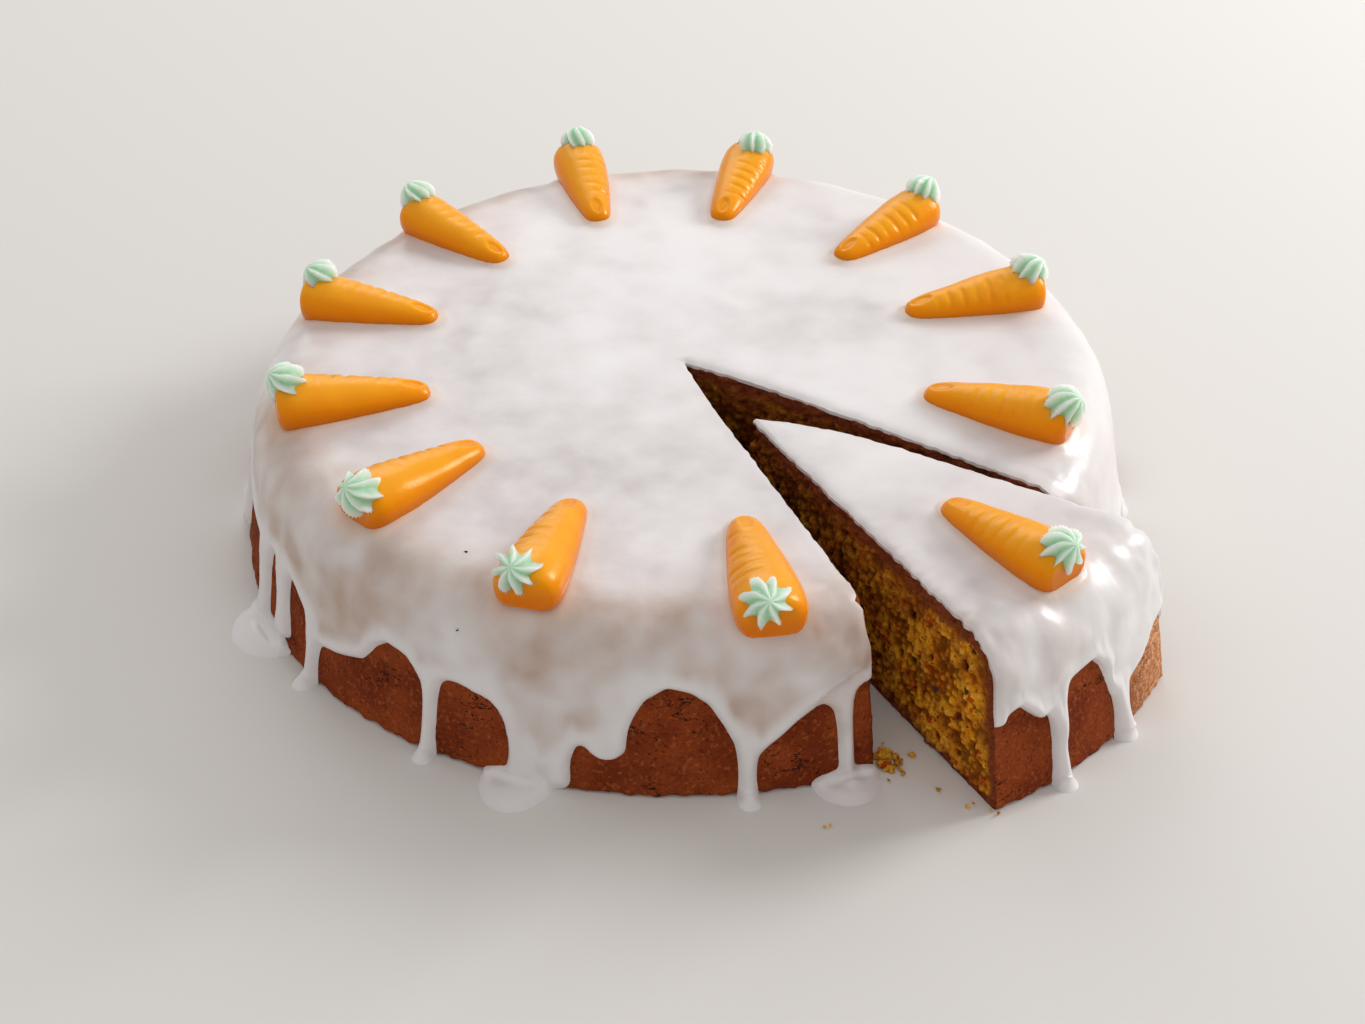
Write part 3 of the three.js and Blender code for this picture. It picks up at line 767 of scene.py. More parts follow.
def icing_surface(angle, length, depth, ridge, bead, from_cut, lumps):
    """Outer and under side of the icing at each place, and what its material reads there."""
    r, z, slope, lift_r, lift_z = meridian(length)
    base = np.stack([r * np.cos(angle), r * np.sin(angle), z], -1)
    seen = {name: swell(base + off, size) for name, (off, size) in PATTERNS.items()}
    streak = np.stack([angle * FOOT_RADIUS / STREAK[0], length / STREAK[1], 0 * angle], -1)
    streak = swell(streak, 1)
    side = smooth_step(length, *WAVES_SET_IN)
    on_wall = smooth_step(length, *WALL_SETS_IN)
    on_shoulder = smooth_step(length, *SHOULDER_SETS_IN)
    on_top = 1 - smooth_step(length, *TOP_ENDS)
    on_floor = smooth_step(length - FLOOR_START, *FLOOR_SETS_IN)

    # How thick the icing is: level on top, eased into the round of the shoulder, and even on the wall, with
    # the drips' ridges and beads, waves, lumps, tears and puddles on it.
    eased = np.clip(length + SHOULDER_EASE, 0, 2 * SHOULDER_EASE) ** 3 / (12 * SHOULDER_EASE)
    eased = eased - np.clip(length, 0, SHOULDER_EASE) ** 2 / 2
    coat = ICING_TOP - eased / (SHOULDER + ICING_TOP)
    coat = coat + (ICING_WALL - coat) * on_wall
    coat = coat + DRIP_RIDGE * ridge ** RIDGE_ROUND + DRIP_BEAD * bead
    coat = coat + EDGE_BEAD * np.exp(-((depth - BEAD_AT) / BEAD_WIDE) ** 2)
    coat = coat + (BROAD_WAVE[0] + BROAD_WAVE[1] * side) * seen["broad"]
    coat = coat + (FINE_WAVE[0] + FINE_WAVE[1] * side) * seen["fine"]
    lump = smooth_step(seen["lump"], *LUMP_SPAN) + BUMP_SHARE * seen["bump"]
    coat = coat + lumps * smooth_step(length, *LUMPS_SET_IN) * LUMP_STANDS * lump
    torn = np.exp(-from_cut / TORN_REACH) * smooth_step(length, *TEARS_SET_IN)
    torn = torn * (1 - on_floor) * (1 - LUMPS_HIDE * lumps)
    coat = coat + TORN * torn * (seen["tear"] + SMALL_TEAR_SHARE * seen["small_tear"])
    coat = coat + PUDDLE_SWELL * on_floor * np.sqrt(np.clip(depth / PUDDLE_RISE, 0, 1))

    # The fold and the dent beside the notch.
    degrees = (np.degrees(angle) + 180) % 360 - 180
    above = z - np.interp(degrees, *zip(*FOLD))
    beside = smooth_step(degrees, FOLD[0][0], FOLD[0][0] + FOLD_STARTS)
    beside = beside * smooth_step(-degrees, -FOLD[-1][0], FOLD_ENDS - FOLD[-1][0])
    lip = smooth_step(above, *LIP_SPAN) * np.exp(-np.maximum(above, 0) / FOLD_ROLL)
    coat = coat + FOLD_LIP * beside * lip
    under_fold = beside * smooth_step(-above, *UNDER_SPAN) * np.exp(np.minimum(above, 0) / UNDER_FOLD)
    from_dent = np.hypot(np.radians(degrees - DENT_AT[0]) * r, z - DENT_AT[1]) / DENT_SIZE
    dent = np.exp(-from_dent ** 2)
    coat = coat - DENT_DEPTH * dent

    # The cut, the carrots' feet and the round edge.
    at_cut = np.exp(-from_cut / CUT_REACH)
    coat = coat * (1 - CUT_THIN * at_cut) + CUT_WAVY * at_cut * seen["wavy"]
    outside = np.maximum(from_carrots(base), 0)
    coat = coat + on_top * MENISCUS * np.exp(-outside / MENISCUS_REACH)
    inward = 1 - np.clip(depth / (EDGE_ROUND + PUDDLE_EDGE * on_floor), 0, 1)
    round_edge = (1 - inward * inward) ** (0.5 + PUDDLE_FLAT * on_floor)
    height = np.maximum(coat, ICING_LEAST) * round_edge

    # Where the sponge shows through as cloudy smudges on top, with painted shade added on the shaded side and
    # in the dents of tears.
    from_axis = np.maximum(length + SHOULDER_R, 0) / SHOULDER_R
    cloudy = SHADE_SHARE * (SHADE_STARTS - np.cos(angle - SHADE_SIDE) * from_axis)
    for name, counts in CLOUDS.items():
        cloudy = cloudy + counts * seen[name]
    smudge_and_shade = CLOUD_STRENGTH * smooth_step(cloudy, *CLOUD_SPAN)
    smudge_and_shade = smudge_and_shade + FLECK_STRENGTH * smooth_step(seen["fleck"] + FLECK_IN_CLOUD * cloudy, *FLECK_SPAN)
    smudge_and_shade = (SMUDGE[0] + SMUDGE[1] * smudge_and_shade) * (1 - SHOULDER_CLEARS * on_shoulder)
    smudge_and_shade = smudge_and_shade + TEAR_STRENGTH * torn * smooth_step(-seen["tear"], *TEAR_SPAN)

    # Where it shows through warm: thinly covered on the shoulder, but not on drips, at the edge or the foot.
    thin = THIN + THIN_PATCHY * (seen["patch"] + DAB_SHARE * seen["dab"]) + THIN_STREAKY * streak
    thin = on_shoulder * np.clip(thin, 0, 1) * (1 - DRIP_COVERS * np.clip(DRIP_COVER_WIDE * ridge, 0, 1))
    thin = thin * smooth_step(depth, *EDGE_COVERS) * (1 - LUMPS_HIDE * lumps)
    thin = thin * (1 - smooth_step(length - FOOT_LENGTH, *FOOT_COVERS))
    # Less of the warm tint on the side to the window, as painted light.
    thin = thin * (1 - WINDOW_LIGHTENS * smooth_step(np.cos(angle - WINDOW_SIDE), *WINDOW_SPAN))
    # Under the fold's lip and in the dent the warm tint is partly thin icing and partly painted shade.
    thin = np.maximum(thin, FOLD_THIN_AND_SHADE * under_fold + DENT_THIN_AND_SHADE * dent)
    bleed = on_top * np.exp(-outside / BLEED_REACH)

    out_r = r + lift_r * round_edge + height * np.cos(slope)
    out_z = z + lift_z * round_edge + height * np.sin(slope)
    outer = np.stack([out_r * np.cos(angle), out_r * np.sin(angle), out_z], -1)
    sunk = IN_SPONGE * (z > OFF_FLOOR)
    low_r, low_z = r - sunk * np.cos(slope), z - sunk * np.sin(slope)
    under = np.stack([low_r * np.cos(angle), low_r * np.sin(angle), low_z], -1)
    return outer, under, np.stack([thin, smudge_and_shade, bleed], -1)


# How the edge is found: a nudge that gives its slope, how often, and the farthest move as a part of a step.
NUDGE = 0.05
EDGE_ROUNDS = 4
EDGE_FLATTEST = 0.2
EDGE_MOVE = 1.3


def to_edge(angle, length, on_cut, step, drips, puddles):
    """Moves places that lie about on the icing's edge onto it, and those on a cut only along the cut."""
    start_angle, start_length = angle, length
    reach = EDGE_MOVE * step
    for _ in range(EDGE_ROUNDS):
        r = meridian(length)[0]
        here = icing_depth(angle, length, drips, puddles)[0]
        aside = (icing_depth(angle + NUDGE / r, length, drips, puddles)[0] - here) / NUDGE
        along = (icing_depth(angle, length + NUDGE, drips, puddles)[0] - here) / NUDGE
        aside = np.where(on_cut, 0, aside)
        move = here / np.maximum(aside * aside + along * along, EDGE_FLATTEST)
        angle = angle - np.clip(aside * move, -step, step) / r
        length = length - np.clip(along * move, -step, step)
        angle = np.clip(angle, start_angle - reach / r, start_angle + reach / r)
        length = np.clip(length, start_length - reach, start_length + reach)
    return angle, length


# Breaks along a cut: the length of short and long ones, the share of the long ones, and where the tip begins.
BREAK = 2.6
LONG_BREAK = 9
LONG_BREAK_OFF = 5
LONG_BREAK_SHARE = 0.6
KNIFE_TIP = 5


def ragged(line, seed):
    """A cut with the small breaks that the knife left in the set icing, more on the side than on top."""
    breaks = np.array([noise.noise((r / BREAK, seed, 0)) for r in line[0].tolist()])
    long_breaks = [noise.noise((r / LONG_BREAK, seed, LONG_BREAK_OFF)) for r in line[0].tolist()]
    breaks += LONG_BREAK_SHARE * np.array(long_breaks)
    tear = RAGGED * (1 + RAGGED_WALL * smooth_step(line[0] - SHOULDER_R, *RAGGED_SETS_IN))
    return line[0], line[1] + tear * breaks / np.maximum(line[0], KNIFE_TIP)


def rim_of(kept):
    """Which points of the grid the kept cells use, and which of those are on the rim."""
    beside = np.zeros((kept.shape[0] + 1, kept.shape[1] + 1), int)
    for across in (0, 1):
        for down in (0, 1):
            beside[across:across + kept.shape[0], down:down + kept.shape[1]] += kept
    # A point has four cells about it, and half as many on a cut, and in the first row, where the top goes on.
    full = np.full(beside.shape, 4)
    full[[0, -1]] = 2
    full[:, 0] //= 2
    return beside > 0, (beside > 0) & (beside < full)


def without_necks(kept, depth):
    """The kept cells without those that hang on by one side, where four faces would share an edge."""
    thin = True
    while thin:
        edge = rim_of(kept)[1]
        upright = kept[:, 1:] & kept[:, :-1] & edge[1:, 1:-1] & edge[:-1, 1:-1]
        level = kept[1:] & kept[:-1] & edge[1:-1, 1:] & edge[1:-1, :-1]
        outer = depth[1:] < depth[:-1]
        kept[:, 1:] &= ~upright
        kept[1:] &= ~(level & outer)
        kept[:-1] &= ~(level & ~outer)
        thin = upright.any() or level.any()
    return kept


def sharp_rim(mesh, outside):
    """Shades the outside smooth up to its rim, and the rest flat."""
    mesh.polygons.foreach_set("use_smooth", outside)
    corners, edges = np.zeros(len(mesh.polygons), int), np.zeros(len(mesh.loops), int)
    mesh.polygons.foreach_get("loop_total", corners)
    mesh.loops.foreach_get("edge_index", edges)
    uses = np.bincount(edges[np.repeat(outside, corners)], minlength=len(mesh.edges))
    mesh.edges.foreach_set("use_edge_sharp", uses == 1)


# Rows are wider apart as far down as no edge lies so high, and go on to beyond the puddles.
ABOVE_EDGE = 20
WIDER_ROWS = 1.6
BEYOND_PUDDLES = 16
# Depths inside the edge: the least beside it, and that of the whole top.
THINNEST = 0.06
FAR_FROM_EDGE = 99


def make_icing(name, on_slice, lines, drips, puddles, columns, step, rings, lumps, material):
    """One closed piece of icing: rings of the top, then rows down the shoulder and side to its edge.

    Rings are, from the shoulder in: [distance between them, columns that a step spans, last radius]."""
    first, last = (ragged(line, seed) for seed, line in enumerate(lines))
    share = np.linspace(0, 1, columns + 1)[:, None]

    def angles(radius, shares):
        return at_angle(first, radius) * (1 - shares) + at_angle(last, radius) * shares

    def cut_distance(radius, angle):
        return radius * np.minimum(angle - at_angle(first, radius), at_angle(last, radius) - angle)

    # The side as a grid of columns and rows, cut off along the icing's edge.
    rows = np.arange(0, ABOVE_EDGE, WIDER_ROWS * step)
    rows = np.concatenate([rows, np.arange(ABOVE_EDGE, FLOOR_START + BEYOND_PUDDLES, step)])
    length = np.broadcast_to(rows, (columns + 1, len(rows))).copy()
    angle = angles(meridian(length)[0], share)
    depth, ridge, bead = icing_depth(angle, length, drips, puddles)
    middle_depth = (depth[1:, 1:] + depth[:-1, 1:] + depth[1:, :-1] + depth[:-1, :-1]) / 4
    kept = without_necks(middle_depth > 0, middle_depth)
    used, edge = rim_of(kept)
    on_cut = np.zeros(depth.shape, bool)
    on_cut[[0, -1]] = True
    angle[edge], length[edge] = to_edge(angle[edge], length[edge], on_cut[edge], step, drips, puddles)
    cut_radius = meridian(length[[0, -1]])[0]
    angle[0], angle[-1] = at_angle(first, cut_radius[0]), at_angle(last, cut_radius[1])
    depth, ridge, bead = icing_depth(angle, length, drips, puddles)
    depth = np.where(edge, 0, np.maximum(depth, THINNEST))

    # Numbers of its points, outside and under: they share those of the edge.
    place = np.full(depth.shape, -1)
    place[used] = np.arange(used.sum())
    below = np.full(depth.shape, -1)
    below[used & ~edge] = used.sum() + np.arange((used & ~edge).sum())
    below[used & edge] = place[used & edge]
    from_cut = cut_distance(meridian(length)[0], angle)
    where = (x[used] for x in (angle, length, depth, ridge, bead, from_cut))
    outer, under, seen = icing_surface(*where, lumps)
    inner_only = (~edge)[used]
    points = [outer, under[inner_only]]
    shows = [seen, seen[inner_only]]
    count = len(outer) + inner_only.sum()

    # Its faces: outside, under, and along the two cuts.
    tops, strips = [], []
    for i, j in zip(*np.nonzero(kept)):
        corners = ((i, j), (i, j + 1), (i + 1, j + 1), (i + 1, j))
        tops.append([place[c] for c in corners])
        strips.append([below[c] for c in corners[::-1]])
    for j in np.nonzero(kept[0])[0]:
        strips.append([place[0, j + 1], place[0, j], below[0, j], below[0, j + 1]])
    for j in np.nonzero(kept[-1])[0]:
        strips.append([place[-1, j], place[-1, j + 1], below[-1, j + 1], below[-1, j]])

    # The top, ring by ring, with half as many columns wherever they get narrow, and its ends at the cuts.
    ring, stride = place[:, 0], 1
    bottom = below[:, 0].tolist()
    first_side, last_side = [], []
    low_ends = bottom[0], bottom[-1]
    radius = SHOULDER_R
    for gap, span, stop in rings:
        for radius in np.linspace(radius, stop, max(round((radius - stop) / gap), 1) + 1)[1:]:
            shares = np.linspace(0, 1, columns // span + 1)
            around = angles(np.full_like(shares, radius), shares)
            inward = np.full_like(shares, radius - SHOULDER_R)
            from_cut = cut_distance(radius, around)
            none = 0 * shares
            where = around, inward, none + FAR_FROM_EDGE, none, none, from_cut
            outer, under, seen = icing_surface(*where, lumps)
            new_ring = count + np.arange(len(shares))
            new_low_ends = count + len(shares), count + len(shares) + 1
            points += [outer, under[[0, -1]]]
            shows += [seen, seen[[0, -1]]]
            count += len(shares) + 2
            for k in range(len(shares) - 1):
                if span == stride:
                    tops.append([ring[k], ring[k + 1], new_ring[k + 1], new_ring[k]])
                else:
                    left, middle, right = ring[2 * k:2 * k + 3]
                    tops.append([left, middle, new_ring[k]])
                    tops.append([middle, new_ring[k + 1], new_ring[k]])
                    tops.append([middle, right, new_ring[k + 1]])
            strips.append([ring[0], new_ring[0], new_low_ends[0], low_ends[0]])
            strips.append([new_ring[-1], ring[-1], low_ends[1], new_low_ends[1]])
            first_side.append(new_low_ends[0])
            last_side.append(new_low_ends[1])
            ring, low_ends, stride = new_ring, new_low_ends, span

    # The flat underside of the top, and what closes it at the tip.
    strips.append((first_side[::-1] + bottom + last_side)[::-1])
    tops.append(ring)
    strips.append([ring[0], ring[-1], *low_ends[::-1]])
    faces = [list(dict.fromkeys(int(x) for x in face)) for face in tops + strips]
    points = to_metres(np.concatenate(points), on_slice)
    values = dict(zip(("thin", "smudge_and_shade", "bleed"), np.concatenate(shows).T))
    piece = new_piece(name, points, faces, values, material)
    sharp_rim(piece.data, np.arange(len(faces)) < len(tops))
    return piece


GLAZE_WHITE = "#eeebea"
# Tints: [value that says where, colour, strength].
GLAZE_TINTS = [("smudge_and_shade", "#c8c1c1", 0.95), ("thin", "#bda28f", 0.95), ("bleed", "#ecc49c", 0.5)]
GLAZE_CLOUD = 9
GLAZE_RIPPLE = 4


# Sugar glaze: white, smooth and satin, a little see-through. Where it is thin the sponge under it shows as a
# warm grey, kept off the side to the window as painted light; grey smudges get painted shade on the shaded
# side and in the dents of tears; and its skin has the soft gloss of something still wet.
def sugar_glaze():
    material = new_material("set_sugar_glaze")
    tree = material.node_tree
    place = add(tree, PLACE, [], "Object")
    cloud = add(tree, NOISE, {"Vector": place, "Scale": per_metre(GLAZE_CLOUD), "Detail": 3.0})
    ripple = add(tree, NOISE, {"Vector": place, "Scale": per_metre(GLAZE_RIPPLE), "Detail": 2.0})
    colour = to_linear(GLAZE_WHITE)
    for name, tint, strength in GLAZE_TINTS:
        value = add(tree, VALUE, [], "Fac", attribute_name=name)
        patchy = add(tree, MATHS, [cloud, strength, strength / 2], operation="MULTIPLY_ADD")
        share = add(tree, MATHS, [value, patchy], operation="MULTIPLY", use_clamp=True)
        colour = add(tree, MIX, [share, colour, to_linear(tint)])
    bump = add(tree, BUMP, {"Strength": 0.1, "Distance": 1.0 * MM, "Height": ripple})
    finish = {"Roughness": 0.3, "IOR": 1.45, "Subsurface Weight": 0.15}
    finish |= {"Subsurface Radius": (1.0, 0.85, 0.7), "Subsurface Scale": 0.5 * MM}
    finish_material(tree, colour, finish, bump)
    return material


GLAZE = sugar_glaze()
CAKE_RINGS = [(1.1, 1, 67), (1.6, 2, 50), (2, 4, 28), (2, 8, 14), (1.6, 16, 7), (1, 32, 3), (0.6, 64, 0.6)]
SLICE_RINGS = [(0.7, 1, 66), (1.4, 2, 30), (1.2, 4, 16), (1, 8, 8)]
# Columns of the mesh, distance between its rows, its rings, and how lumpy the icing set.
CAKE_ICING_MESH = (704, 0.85, CAKE_RINGS, 0.25)
SLICE_ICING_MESH = (176, 0.5, SLICE_RINGS, 1.0)
cake_icing = make_icing("icing_of_cake", False, (NOTCH_RIGHT, NOTCH_LEFT), cake_drips, cake_puddles,
                        *CAKE_ICING_MESH, GLAZE)
slice_icing = make_icing("icing_of_slice", True, (SLICE_LEFT, SLICE_RIGHT), slice_drips, [],
                         *SLICE_ICING_MESH, GLAZE)
puddle_nodes = [f"icing_puddle_{i + 1}" for i in range(len(cake_puddles))]
for icing, nodes in ((cake_icing, ["cake_icing", *puddle_nodes]), (slice_icing, ["slice_icing"])):
    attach(icing, "root")
    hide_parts(*nodes)

# The carrots: marzipan rolled to a cone by hand, cut flat at the crown and scored across one flank with a
# knife's back, with a nail's print on the tip. Twelve lie in a ring on the icing, tips to the middle.
CARROT_TIP = 3.8
CARROT_FLATTEN = 0.76
CARROT_SINK = 1.7
CARROT_IN_ICING = 0.25
CARROT_SEAT = SPONGE_HEIGHT + ICING_TOP - CARROT_IN_ICING
CARROT_RINGS = 110
CARROT_SIDES = 56
# Grooves: on the flank that points this way, and along this much of it: [part of the length, how deep].
GROOVE_PITCH = 3.9
GROOVE_DEPTH = 0.46
GROOVE_SHARP = 2.2
GROOVE_DOWN = 0.8
GROOVE_ASIDE = 0.5
FLANK = (0.0, -0.54, 0.84)
FLANK_SPAN = (0.6, 0.95)
SCORED = [(0, 0), (0.16, 0), (0.28, 1), (0.7, 0.9), (0.84, 0), (1, 0)]
PRESSED = 5
PRESSED_SPAN = (0.25, 0.6)
# The nail's print: where along the carrot and how long in parts of its length, how wide, and how it ends.
NAIL_AT = 0.115
NAIL_LONG = 0.075
NAIL_WIDE = 1.6
NAIL_DEPTH = 0.6
NAIL_EDGE = (1.3, 0.5)
# Lumps from the hands, and lower flanks that stand up straighter: over which heights as parts of the radius.
HAND_LUMP = 13
HAND_UNEVEN = 1.2
STRAIGHTER = (0.25, -0.3)
STRAIGHTER_POWER = (1.0, 0.4)
# Keeps a division by the radius from failing on the axis.
NEAR_AXIS = 0.0001
AT_AXIS = 0.00001
LOW_SPAN = 1.4


def new_shape(name, sizes):
    """An empty tree of geometry nodes with named sizes as its inputs."""
    tree = bpy.data.node_groups.new(name, "GeometryNodeTree")
    tree.interface.new_socket("Geometry", in_out="OUTPUT", socket_type="NodeSocketGeometry")
    for size in sizes:
        tree.interface.new_socket(size, in_out="INPUT", socket_type="NodeSocketFloat")
    return tree, tree.nodes.new("NodeGroupInput").outputs


def finish_shape(tree, geometry, material):
    """Ends a tree: real meshes, smooth, of this material."""
    real = add(tree, "GeometryNodeRealizeInstances", [geometry])
    smooth = add(tree, "GeometryNodeSetShadeSmooth", [real])
    coated = add(tree, "GeometryNodeSetMaterial", {"Geometry": smooth, "Material": material})
    add(tree, "NodeGroupOutput", [coated])


def grow_on(piece, tree, sizes):
    """Gives a piece the plain mesh that a tree grows from these sizes."""
    shape = piece.modifiers.new(tree.name, "NODES")
    shape.node_group = tree
    for socket in tree.interface.items_tree:
        if socket.in_out == "INPUT" and socket.name in sizes:
            shape[socket.identifier] = float(sizes[socket.name])
    evaluated = piece.evaluated_get(bpy.context.evaluated_depsgraph_get())
    piece.data = bpy.data.meshes.new_from_object(evaluated)
    piece.modifiers.clear()


def grown(name, tree, sizes):
    piece = bpy.data.objects.new(name, bpy.data.meshes.new(name))
    bpy.context.scene.collection.objects.link(piece)
    grow_on(piece, tree, sizes)
    return piece


VECTORS = "ShaderNodeVectorMath"
SPLIT = "ShaderNodeSeparateXYZ"
JOIN = "ShaderNodeCombineXYZ"
CURVE = "ShaderNodeFloatCurve"
POSITION = "GeometryNodeInputPosition"
SET_POSITION = "GeometryNodeSetPosition"
STORE = "GeometryNodeStoreNamedAttribute"


def swept(tree, end, rings, outline, radius, sides):
    """A closed round body along a line from the origin to an end, as wide as its outline says."""
    line = add(tree, "GeometryNodeCurvePrimitiveLine", {"End": end})
    line = add(tree, "GeometryNodeResampleCurve", {"Curve": line, "Count": rings})
    along = add(tree, "GeometryNodeSplineParameter", [])
    wide = add(tree, CURVE, {"Value": along}, curve=outline)
    wide = add(tree, MATHS, [wide, radius], operation="MULTIPLY")
    ring = add(tree, "GeometryNodeCurvePrimitiveCircle", {"Resolution": sides, "Radius": 1.0})
    body = {"Curve": line, "Profile Curve": ring, "Scale": wide, "Fill Caps": True}
    return add(tree, "GeometryNodeCurveToMesh", body)


def carrot_tree(material):
    """A carrot along X from its tip, with its flat underside on the ground."""
    sizes = ["Length", "Tip", "Crown", "Flatten", "Sink", "Pitch", "Groove", "Phase"]
    tree, size = new_shape("rolled_carrot", sizes)
    crown = add(tree, JOIN, {"X": size["Length"]})
    body = swept(tree, crown, CARROT_RINGS, CARROT_OUTLINE, size["Crown"], CARROT_SIDES)

    place = add(tree, POSITION, [])
    at = add(tree, SPLIT, [place]).node.outputs
    share = add(tree, MATHS, [at["X"], size["Length"]], operation="DIVIDE")
    taper = add(tree, MATHS, [size["Crown"], size["Tip"]], operation="SUBTRACT")
    straight = add(tree, MATHS, [taper, share, size["Tip"]], operation="MULTIPLY_ADD")
    middle = add(tree, MATHS, [straight, size["Flatten"]], operation="MULTIPLY")
    middle = add(tree, MATHS, [middle, size["Sink"]], operation="SUBTRACT")
    height = add(tree, MATHS, [at["Z"], size["Flatten"], middle], operation="MULTIPLY_ADD")
    off_axis = add(tree, JOIN, {"Y": at["Y"], "Z": at["Z"]})
    radius = add(tree, VECTORS, [off_axis], "Value", operation="LENGTH")
    past_axis = add(tree, MATHS, [radius, NEAR_AXIS], operation="ADD")

    flank = add(tree, VECTORS, [off_axis, FLANK], "Value", operation="DOT_PRODUCT")
    flank = add(tree, MATHS, [flank, past_axis], operation="DIVIDE")
    deep = add(tree, RANGE, [flank, *FLANK_SPAN, 0.0, size["Groove"]], interpolation_type=SMOOTH)
    scored = add(tree, CURVE, {"Value": share}, curve=SCORED)
    wave = add(tree, MATHS, [at["X"], size["Pitch"]], operation="DIVIDE")
    wave = add(tree, MATHS, [wave, 2 * math.pi, size["Phase"]], operation="MULTIPLY_ADD")
    wave = add(tree, MATHS, [wave], operation="COSINE")
    wave = add(tree, MATHS, [wave, 0.5, 0.5], operation="MULTIPLY_ADD")
    groove = add(tree, MATHS, [wave, GROOVE_SHARP], operation="POWER")
    pressed = {"Vector": place, "Scale": per_metre(PRESSED), "Detail": 0.0, "W": size["Phase"]}
    pressed = add(tree, NOISE, pressed, noise_dimensions="4D")
    pressed = add(tree, RANGE, [pressed, *PRESSED_SPAN])
    for part in (pressed, scored, deep):
        groove = add(tree, MATHS, [groove, part], operation="MULTIPLY")

    nail_x = add(tree, MATHS, [share, NAIL_AT], operation="SUBTRACT")
    nail_x = add(tree, MATHS, [nail_x, NAIL_LONG], operation="DIVIDE")
    nail_y = add(tree, MATHS, [at["Y"], NAIL_WIDE * MM], operation="DIVIDE")
    nail = add(tree, MATHS, [nail_y, nail_y], operation="MULTIPLY")
    nail = add(tree, MATHS, [nail_x, nail_x, nail], operation="MULTIPLY_ADD")
    nail = add(tree, RANGE, [nail, *NAIL_EDGE, 0.0, NAIL_DEPTH * MM], interpolation_type=SMOOTH)
    on_top = add(tree, MATHS, [at["Z"], 0.0], operation="GREATER_THAN")
    dent = add(tree, MATHS, [groove, GROOVE_DOWN], operation="MULTIPLY")
    dent = add(tree, MATHS, [nail, on_top, dent], operation="MULTIPLY_ADD")
    lump = {"Vector": place, "Scale": per_metre(HAND_LUMP), "Detail": 1.0, "W": size["Phase"]}
    lump = add(tree, NOISE, lump, noise_dimensions="4D")
    lump = add(tree, MATHS, [lump, HAND_UNEVEN * MM, -HAND_UNEVEN / 2 * MM], operation="MULTIPLY_ADD")
    height = add(tree, MATHS, [height, dent], operation="SUBTRACT")
    height = add(tree, MATHS, [height, lump], operation="ADD")
    height = add(tree, MATHS, [height, 0.0], operation="MAXIMUM")

    low = add(tree, MATHS, [at["Z"], past_axis], operation="DIVIDE")
    power = add(tree, RANGE, [low, *STRAIGHTER, *STRAIGHTER_POWER])
    aside = add(tree, MATHS, [radius, AT_AXIS], operation="ADD")
    aside = add(tree, MATHS, [at["Y"], aside], operation="DIVIDE")
    aside = add(tree, MATHS, [aside], operation="ABSOLUTE")
    aside = add(tree, MATHS, [aside, power], operation="POWER")
    for part in (add(tree, MATHS, [at["Y"]], operation="SIGN"), radius):
        aside = add(tree, MATHS, [aside, part], operation="MULTIPLY")
    aside = add(tree, MATHS, [groove, GROOVE_ASIDE, aside], operation="MULTIPLY_ADD")
    shaped = add(tree, JOIN, [at["X"], aside, height])
    body = add(tree, SET_POSITION, {"Geometry": body, "Position": shaped})
    # How low each point now lies, kept for the marzipan's painted shade low down and painted highlight along
    # the top.
    now_at = add(tree, SPLIT, [add(tree, POSITION, [])]).node.outputs
    high = add(tree, MATHS, [straight, LOW_SPAN], operation="MULTIPLY")
    high = add(tree, MATHS, [now_at["Z"], high], operation="DIVIDE")
    low = add(tree, MATHS, [1.0, high], operation="SUBTRACT")
    body = add(tree, STORE, {"Geometry": body, "Name": "low", "Value": low})
    finish_shape(tree, body, material)
    return tree


MARZIPAN_ORANGE = ("#f58e00", "#ffab00")
MARZIPAN_CLOUD = 9
MARZIPAN_GRAIN = 0.8
# Painted shade low on the carrot and painted highlight along its top, by how low a place is: [from, to,
# strength, colour].
MARZIPAN_LIGHT_AND_SHADE = [(0.15, 0.95, 0.9, "#df7200"), (0.4, 0.0, 0.35, "#ffc040")]


# Marzipan: almond and sugar paste with food colour, kneaded smooth. It is dense orange with a soft waxy
# gloss, light sinks in a little, and the colour is a shade uneven from the hands. It is painted deeper orange
# low on the flanks as painted shade, and yellower along the top as painted highlight.
def marzipan():
    material = new_material("coloured_marzipan")
    tree = material.node_tree
    place = add(tree, PLACE, [], "Object")
    cloud = add(tree, NOISE, {"Vector": place, "Scale": per_metre(MARZIPAN_CLOUD), "Detail": 3.0})
    grain = add(tree, NOISE, {"Vector": place, "Scale": per_metre(MARZIPAN_GRAIN), "Detail": 3.0})
    low = add(tree, VALUE, [], "Fac", attribute_name="low")
    colour = add(tree, MIX, [cloud, *(to_linear(orange) for orange in MARZIPAN_ORANGE)])
    for start, end, strength, tint in MARZIPAN_LIGHT_AND_SHADE:
        share = add(tree, RANGE, [low, start, end, 0.0, strength], interpolation_type=SMOOTH)
        colour = add(tree, MIX, [share, colour, to_linear(tint)])
    bump = add(tree, BUMP, {"Strength": 0.12, "Distance": 0.5 * MM, "Height": grain})
    finish = {"Roughness": 0.24, "IOR": 1.45}
    finish |= {"Specular IOR Level": 0.45, "Specular Tint": to_linear("#ffd498")}
    finish |= {"Subsurface Weight": 0.5, "Subsurface Radius": (1.0, 0.5, 0.12), "Subsurface Scale": 4 * MM}
    finish_material(tree, colour, finish, bump)
    return material


